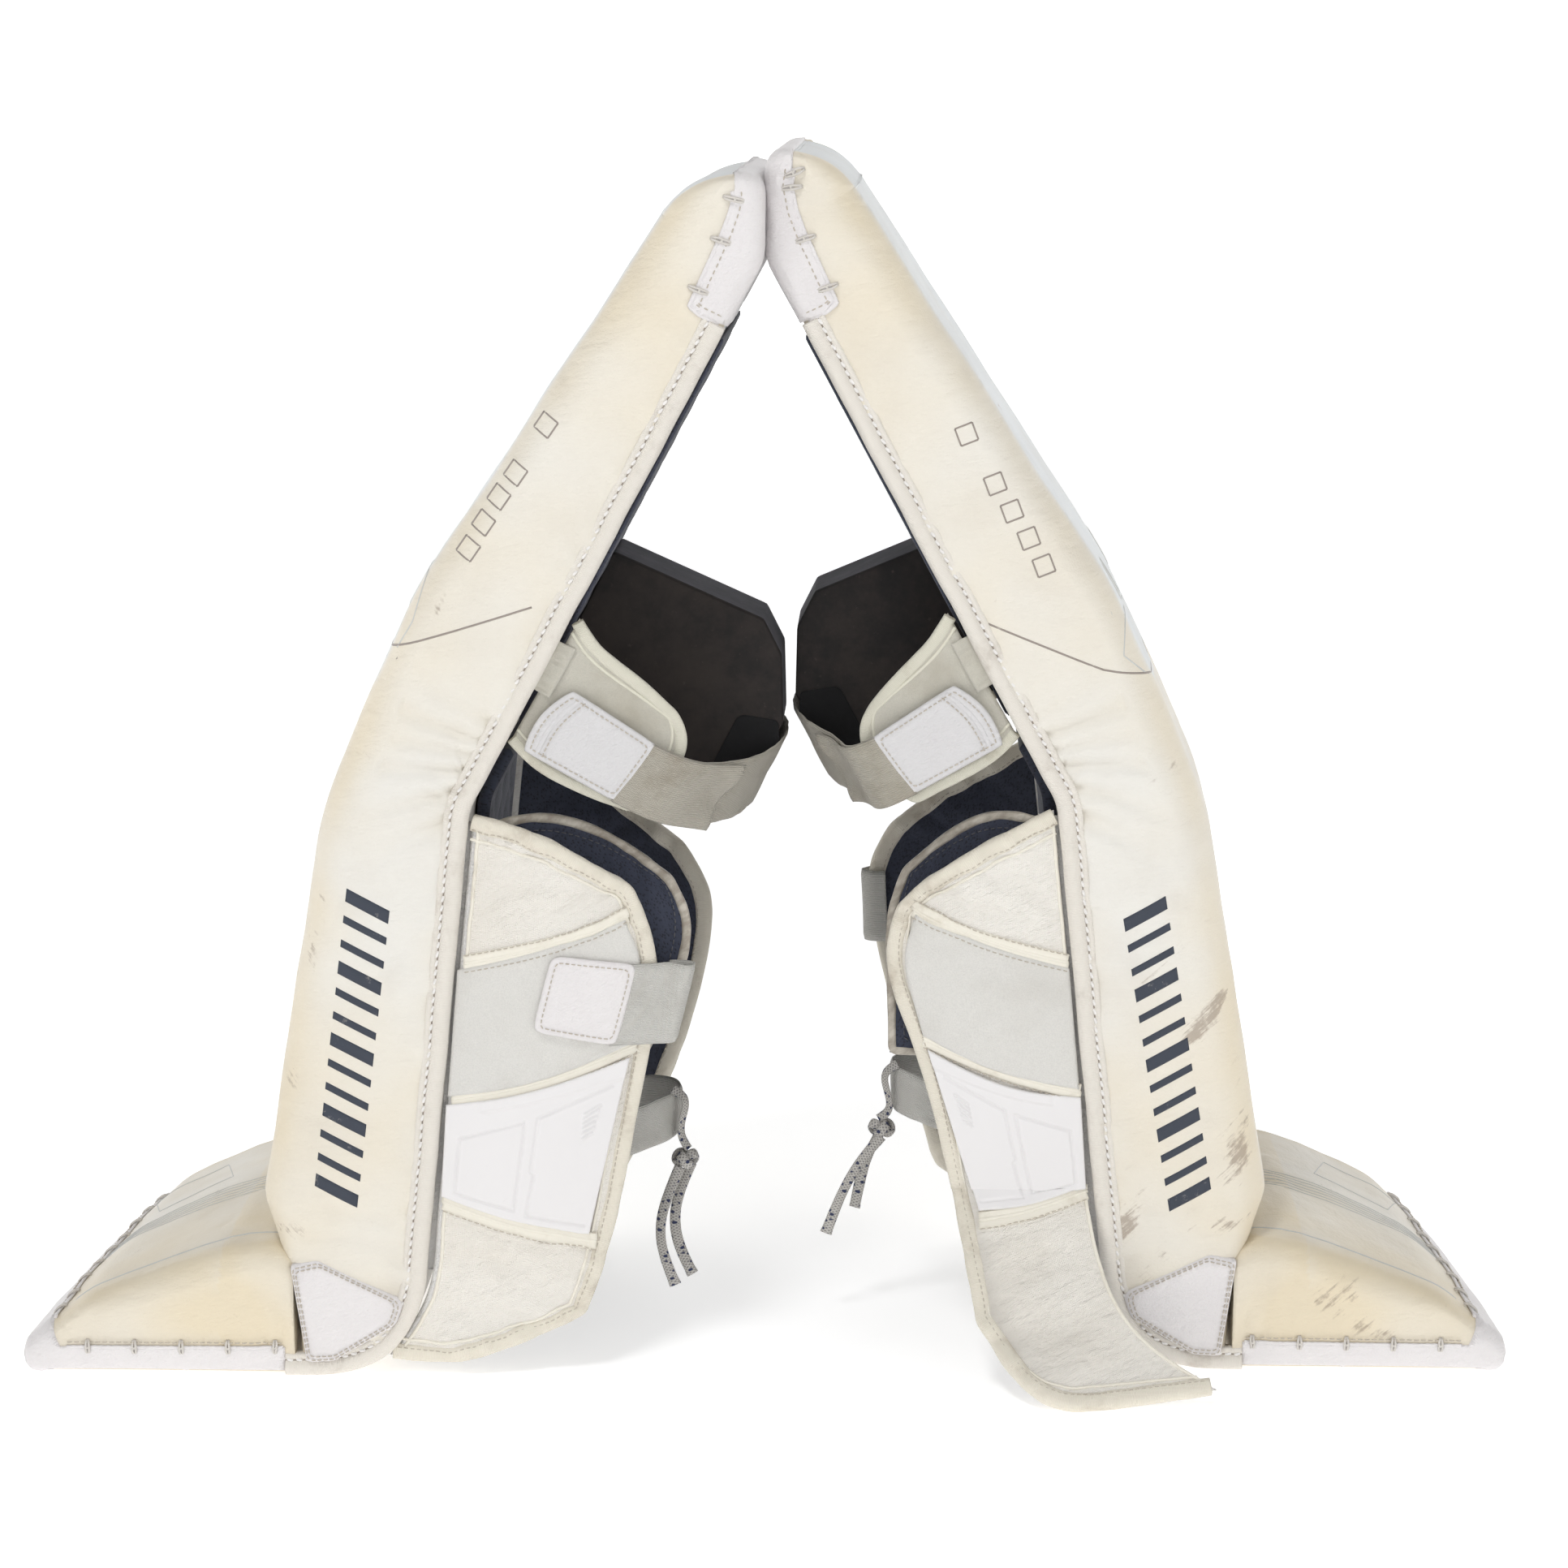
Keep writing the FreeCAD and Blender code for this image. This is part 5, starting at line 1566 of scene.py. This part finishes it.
def band(sections, columns, rows=14):
    """A surface through pairs of edge points, as rows across and columns along."""
    shares_along = np.linspace(0, 1, columns)
    first = spline([s[0] for s in sections], shares_along)
    second = spline([s[1] for s in sections], shares_along)
    t = np.linspace(0, 1, rows)[:, None, None]
    return first[None] * (1 - t) + second[None] * t


def make_flap_roots(side):
    """The nylon strips that join the calf flaps' roots to the rolled edges."""
    z = np.linspace(342, 64, 120)
    root, rim = hinge_line(z) - 7, 175 + (350 - z) * 37 / 350 + 1.5
    u = root[:, None] + (rim - root)[:, None] * np.linspace(0, 1, 9)
    parts = []
    for sign in (-1, 1):
        y = sign * (127.6 + 0.8 * noise(np.stack([z, z * 0, z * 0 + sign], -1), 7, 151))
        grid = np.stack(np.broadcast_arrays(u, y[:, None], z[:, None]), -1)
        parts.append(sheet(grid, 1.6, FAR * sign, edge=1.0))
    put(side, "flap_root_strips", merged(parts), "pale_nylon", "shin", "flap_nylon")


def make_elastic(name, side, body, grid, outward, thickness, look, relief=0.5):
    """Elastic webbing over a grid; it stands in for the CAD node of the same name."""
    ripple = noise(grid * np.array([1, 1, 0.35]), 11, 111) * relief
    grid = grid + normals_of(grid, outward) * ripple[..., None]
    points, faces, _, uv = sheet(grid, thickness, outward, edge=1.0)
    put(side, f"{name.removesuffix('_elastic')}_elastic", (points, faces, uv[:, ::-1]), look, body,
        "elastic_web", name)


def make_calf_strap(side):
    near = side == "left"
    body, sign, outward = ("near_flap", -1, NEAR) if near else ("far_flap", 1, FAR)
    flat = patch([(126, 264), (77, 257)], [(138, 217), (90, 207)], [(126, 264), (138, 217)],
                 [(77, 257), (90, 207)], shares(44), shares(48))
    grid, _ = on_flap(flat, side, near, FLAP_HALF + 4.0)
    make_tab("calf_tab", side, "calf_pull", grid, outward, 0.045, "white")
    edge_top, edge_bottom = (50.0, 62.0) if near else (64.0, 66.0)
    sections = []
    for share in (0.0, 0.33, 0.67, 1.0):
        pair = [(82 + (edge_top + 6 - 82) * share, 257), (94 + (edge_bottom + 6 - 94) * share, 207)]
        sections.append(on_flap(pair, side, near, FLAP_HALF + 3.6)[0].tolist())
    for shift, depth in ((-5, 127.0), (-8.5, 121), (-4, 114.8), (7, 113.8)):
        sections.append([(edge_top + shift, sign * depth, 255), (edge_bottom + shift, sign * depth, 207)])
    make_elastic("calf_elastic", side, body, band(sections, 60), outward, 1.8, "pale_web")


# ---- knee block, wing and strap ----
# how far each pad's block is drawn in from the left one's outline
BLOCK_DRAW = {"left": 0.0, "right": 28.0}
# the corners away from the thigh, and the outline of a near-black area on the block's near side, far darker than
# the foam
BLOCK_REAR = [(3, 452, 3), (-8, 430, 4), (-9, 388, 4), (22, 339, 4), (48, 328, 8)]
BLOCK_NEAR_BLACK = [(38, 356, 6), (18, 394, 7), (-6, 390, 3), (-7, 376, 3), (12, 350, 5)]


def drawn(u, z, amount):
    return u + 0.88 * amount, z + 0.47 * amount


def slab(corners, low, high, bevel):
    """A foam block with rounded edges: loops of its outline stacked from side to side.
    Returns its grid, its faces, and 1 for each face round the edge."""
    outline = closed_outline(corners, 2.0)
    away = unit(outline - outline.mean(axis=0))
    steps = [(bevel, low), (bevel * 0.35, low + bevel * 0.25), (0.0, low + bevel)]
    steps += [(0.0, y) for y in np.linspace(low + bevel, high - bevel, 18)[1:]]
    steps += [(bevel * 0.35, high - bevel * 0.25), (bevel, high)]
    flats = [outline - away * inset for inset, _ in steps]
    grid = np.array([np.stack([flat[:, 0], np.full(len(flat), y), flat[:, 1]], -1)
                     for flat, (_, y) in zip(flats, steps)])
    rows, columns = grid.shape[:2]
    number = [int(3 <= i < rows - 3) for i in range(rows - 1) for _ in range(columns)]
    return grid, closed_loops(rows, columns), number + [0, 0]


def make_knee_block(side):
    draw = BLOCK_DRAW[side]
    corners = [(94, 493, 2)] + [(*drawn(u, z, draw), r) for u, z, r in BLOCK_REAR] + [(139, 406, 2)]
    grid, faces, number = slab(corners, -50.0, 20.0, 1.4)
    block = make_piece("knee_stack", side, grid, faces, ["block", "block_edge"], number)
    follow(block, side, "thigh", "block_foam", "knee_block")
    # a near-black sheet over part of the block's near side
    shape = [(*drawn(u, z, draw), r) for u, z, r in BLOCK_NEAR_BLACK]
    put(side, "knee_stack_near_black", slab(shape, -51.2, -49.0, 0.5)[:2], "near_black", "thigh", "block_foam")


def make_knee_wing(side):
    pull = 0.36 * BLOCK_DRAW[side]
    top = [(108, -128, 464), (102, -127, 453), (78 + pull / 2, -121, 429), (55 + pull, -114, 405)]
    free = [(55 + pull, -114, 405), (48 + pull, -112.5, 390), (57 + pull, -113.5, 366), (80 + pull, -118, 348)]
    bottom = [(150, -128, 390), (138, -127, 377), (114, -124, 362), (80 + pull, -118, 348)]
    root = [(108, -128, 464), (150, -128, 390)]
    grid = patch(top, bottom, root, free, shares(70, 0.3), shares(70, 0.3))
    from_top, from_bottom, _, from_free = edge_distances(grid)
    edge = np.minimum.reduce([from_top, from_bottom, from_free])
    puff = noise(grid, 24, 121) * 1.6 * (1 - fall(edge, 6, 16))
    normal = normals_of(grid, NEAR)
    grid = grid + normal * (puff + 1.0 * (1 - fall(edge, 9, 14)))[..., None]
    # the felt look is partly painted shade
    wing = put(side, "knee_wing_felt", sheet(grid, 5.0, NEAR, edge=3.0), "felt", "thigh", "felt_wing", "knee_wing")
    tape = bound_edge(grid, normal, 8.0, 6.6, 0.15)
    put(side, "knee_wing_binding", tape, "wing_edge", "thigh", "felt_wing")
    path, normals = border(grid, normal, 9.4)
    welt = bar_along(path + normals * 2.4, normals, ring(2.0, 1.8, 8))
    put(side, "knee_wing_welt", welt[:2], "wing_edge", "thigh", "felt_wing")

    grid = band([[(120, -132.2, 451), (110, -131.4, 446)], [(128, -132.6, 437), (118, -131.9, 431)],
                 [(136, -132.8, 423), (126, -132.3, 417)]], 60, 16)
    gathers = noise(edge_distances(grid)[2][..., None] * np.array([1.0, 0, 0]), 3.2, 131) * 2.0
    gathers = gathers * (1 - fall(np.minimum.reduce(edge_distances(grid)), 0.5, 3))
    elastic = sheet(grid, 1.8, NEAR, edge=0.8, relief=gathers)
    put(side, "knee_wing_root_elastic", elastic, "felt", "thigh", "elastic_web")


def make_tab_end(side, grid):
    """The knee tab's folded front end: a second row of stitches and a soft fold beside it."""
    normal = normals_of(grid, NEAR)

    def column(k, lift):
        line = evenly(np.concatenate([grid[2:-2, k], normal[2:-2, k]], 1), 1.0)
        return line[:, :3] + line[:, 3:] * lift, line[:, 3:]

    fold = bar_along(*column(7, 1.2), ring(3.4, 1.6, 10))
    # the fold takes the darker white leather, which is partly painted shade
    put(side, "knee_tab_fold", fold[:2], "white_in_shade", "knee_pull", "white_leather")
    row = stitches(*column(10, 1.9), **TAB_STITCH)
    put(side, "knee_tab_end_stitching", row, "thread", "knee_pull", "stitch_thread")


# the strap round the block: upper and lower edge (u, z), their y, and how far each draws in with it
STRAP_SECTIONS = [
    ((66, 389), (91, 355), -124.6, -126.6, 0.0), ((43, 378), (64, 341), -117.5, -120, 0.3),
    ((22, 373), (43, 335), -97, -98, 0.8), ((3, 374), (27, 333), -74, -75, 1.0),
    ((-9, 379), (14, 335), -44, -44, 1.0), ((-11, 380), (12, 336), -14, -14, 1.0),
    ((-8, 381), (15, 337), 18, 18, 1.0), ((10, 384), (28, 340), 52, 52, 0.9),
    ((55, 392), (66, 349), 90, 90, 0.5), ((105, 402), (112, 360), 116, 116, 0.1),
    ((143, 408), (150, 372), 124, 124, 0.0)]
STRAP_FOLD_END = 27                    # columns of the strap's grid under its folded-back end


def make_knee_strap(side):
    top = [(112, -133.5, 422), (63, -125.5, 388)]
    bottom = [(142, -133.5, 386), (88, -127.5, 354)]
    root = [top[0], (131, -134.5, 407), bottom[0]]
    grid = patch(top, bottom, root, [top[1], bottom[1]], shares(48), shares(54)) + NEAR * 0.4
    # the knee tab takes the darker white leather, which is partly painted shade
    make_tab("knee_tab", side, "knee_pull", grid, NEAR, 0.015, "white_in_shade")
    make_tab_end(side, grid)
    sections = []
    for upper, lower, upper_y, lower_y, part in STRAP_SECTIONS:
        (u1, z1), (u2, z2) = (drawn(u, z, BLOCK_DRAW[side] * part) for u, z in (upper, lower))
        sections.append([(u1, upper_y, z1), (u2, lower_y, z2)])
    grid = band(sections, 150, 18)
    # the strap's darker elastic colour is partly painted shade
    make_elastic("knee_strap", side, "thigh", grid, (-1, -0.4, 0), 2.4, "web", relief=1.6)
    layer = grid[:, :STRAP_FOLD_END]
    outward = (-0.6, -0.8, 0)
    end = np.clip((np.arange(STRAP_FOLD_END) - 15) / 11, 0, 1)[None] ** 2
    wave = np.sin(np.linspace(0, 2.6 * math.pi, 18))[:, None] * end * 2.4
    layer = layer + normals_of(layer, outward) * (2.5 + 3.4 * end + wave)[..., None]
    points, faces, _, uv = sheet(layer, 1.8, outward, edge=1.0)
    put(side, "knee_strap_fold", (points, faces, uv[:, ::-1]), "web", "thigh", "elastic_web")


# ---- liners, ankle strap and laces ----
# name, body, lowest and highest z, thickness, half width, CAD node
LINERS = [("thigh_liner_pad", "thigh", 402, 628, 3.0, 122.0, "thigh_liner"),
          ("shin_liner_pad", "knee", 62, 380, 8.0, 84.0, "shin_liner")]


def make_liners(side):
    """Quilted pads on the back of the thigh and the shin."""
    path = evenly(rounded_path(TOPS["left"][0][1:] + REAR_EDGE), 2.0)
    outward = -into_pad(path)
    for name, body, low, high, thick, half, node in LINERS:
        keep = (path[:, 1] >= low) & (path[:, 1] <= high)
        y = np.linspace(-half, half, 76)
        line, away = path[keep], outward[keep]
        grid = np.stack(np.broadcast_arrays(line[:, :1], y, line[:, 1:]), -1)
        grid = grid + away[:, None] * (thick / 2 + 0.6)
        run = lengths(line)[:, None]
        quilt = np.abs(np.sin((run + y) * math.pi / 46)) * np.abs(np.sin((run - y) * math.pi / 46))
        edge = np.minimum.reduce(edge_distances(grid))
        relief = (np.sqrt(quilt) * 2.4 - 1.6 + noise(grid, 18, 141) * 0.6) * (1 - fall(edge, 4, 14))
        pad = sheet(grid, thick, away.mean(axis=0), edge=3.0, relief=relief)
        put(side, name, pad, "lining", body, "dark_liner", node)


ANKLE = {"left": (57.0, 0.0), "right": (76.0, 10.0)}
TAILS = {
    "left": ([(56, -40, 104), (63, -42, 88), (69, -43, 68), (67, -44, 47), (59, -44, 28)],
             [(49, -29, 104), (56, -27, 88), (61, -26, 68), (58, -27, 47), (49, -28, 30)]),
    "right": ([(70, -41, 117), (59, -44, 105), (49, -45, 89), (41, -45, 71), (35, -44, 54)],
              [(69, -28, 116), (61, -26, 101), (56, -26, 83), (53, -27, 66)]),
}
TAIL_LENGTHS = {"left": (0.0798, 0.0783), "right": (0.0731, 0.0530)}


def make_ankle_strap(side):
    rear, rise = ANKLE[side]
    middle = [(183, -62, 108), (150, -62, 114), (rear + 42, -56, 126), (rear + 9, -38, 134), (rear, -14, 135),
              (rear + 10, 10, 134), (rear + 44, 32, 126), (150, 44, 114), (183, 50, 108)]
    sections = [[(u, y, z + 15 + rise), (u + 1, y, z - 15 + rise)] for u, y, z in middle]
    make_elastic("ankle_strap", side, "shin", band(sections, 110), (-1, 0, 0), 2.4, "pale_web", relief=1.4)


def curve_points(route):
    """Points along a smooth curve guided by a route, in the pad's frame."""
    data = bpy.data.curves.new("guide", "CURVE")
    data.dimensions = "3D"
    data.resolution_u = 12
    line = data.splines.new("NURBS")
    line.points.add(len(route) - 1)
    for point, place in zip(line.points, route):
        point.co = (*place, 1.0)
    line.order_u = 3
    line.use_endpoint_u = True
    guide = bpy.data.objects.new("guide", data)
    bpy.context.scene.collection.objects.link(guide)
    bpy.context.view_layer.update()
    mesh = bpy.data.meshes.new_from_object(guide)
    points = np.array([v.co for v in mesh.vertices])
    bpy.data.objects.remove(guide)
    bpy.data.meshes.remove(mesh)
    return points


LACE_WIDTH = 7.0
KNOT_SIZE = np.array([2.5, 2.4, 3.0])


def make_laces(side):
    for which, route, length in zip("ab", TAILS[side], TAIL_LENGTHS[side]):
        guide = curve_points(route)
        path = evenly(guide, 1.2)
        run = lengths(path) / lengths(path)[-1]
        turn = run * 3.0 + (0.2 if which == "a" else 1.2)
        up = np.stack([0.5 * np.sin(turn), np.full(len(turn), -1.0), np.zeros(len(turn))], -1)
        profile = np.tile(ring(LACE_WIDTH, 2.0, 14, 2.6), (len(path), 1, 1))
        profile[..., 0] *= (1 + 0.10 * (1 - fall(run, 0.93, 1.0)))[:, None]
        tail = put(side, f"lace_tail_{which}_ribbon", bar_along(path, up, profile), "lace", "shin",
                   "lace_cord", f"lace_tail_{which}")
    centre = (np.array(TAILS[side][0][0]) + np.array(TAILS[side][1][0])) / 2 + np.array([0.5, 0, 4.0])
    t = np.linspace(0, 2 * math.pi, 150)[:-1]
    trefoil = [np.sin(t) + 2 * np.sin(2 * t), (np.cos(t) - 2 * np.cos(2 * t)) * 0.9, -np.sin(3 * t) * 1.1]
    path = centre + np.stack(trefoil, -1) * KNOT_SIZE
    parts = [bar_along(path, unit(path - centre), ring(6.6, 2.8, 12, 2.6))]
    rear, rise = ANKLE[side]
    over = [(rear + 4, -32, 152 + rise), (rear - 3.5, -33, 146 + rise), (rear - 2.5, -34, 134 + rise),
            (rear - 2, -34, 122 + rise), (centre[0] - 2, -34, centre[2] + 6)]
    path = spline(over, np.linspace(0, 1, 50))
    parts.append(bar_along(path, np.array([-0.8, -0.6, 0]), ring(6.4, 2.0, 12, 2.6)))
    put(side, "lace_knot_tied", merged(parts), "lace", "shin", "lace_cord", "lace_knot")


# ---- the scene ----
make_stage()
LOOKS.update(make_looks())
for side in SIDES:
    leg, boot = make_skins(side)
    make_cap(side, leg)
    make_toe(side, boot)
    make_tape(side)
    make_ankle_patches(side)
    make_prints(side, leg, boot)
    make_near_flap(side)
    make_far_flap(side)
    make_inner_flap(side)
    make_flap_roots(side)
    make_calf_strap(side)
    make_knee_block(side)
    make_knee_wing(side)
    make_knee_strap(side)
    make_liners(side)
    make_ankle_strap(side)
    make_laces(side)
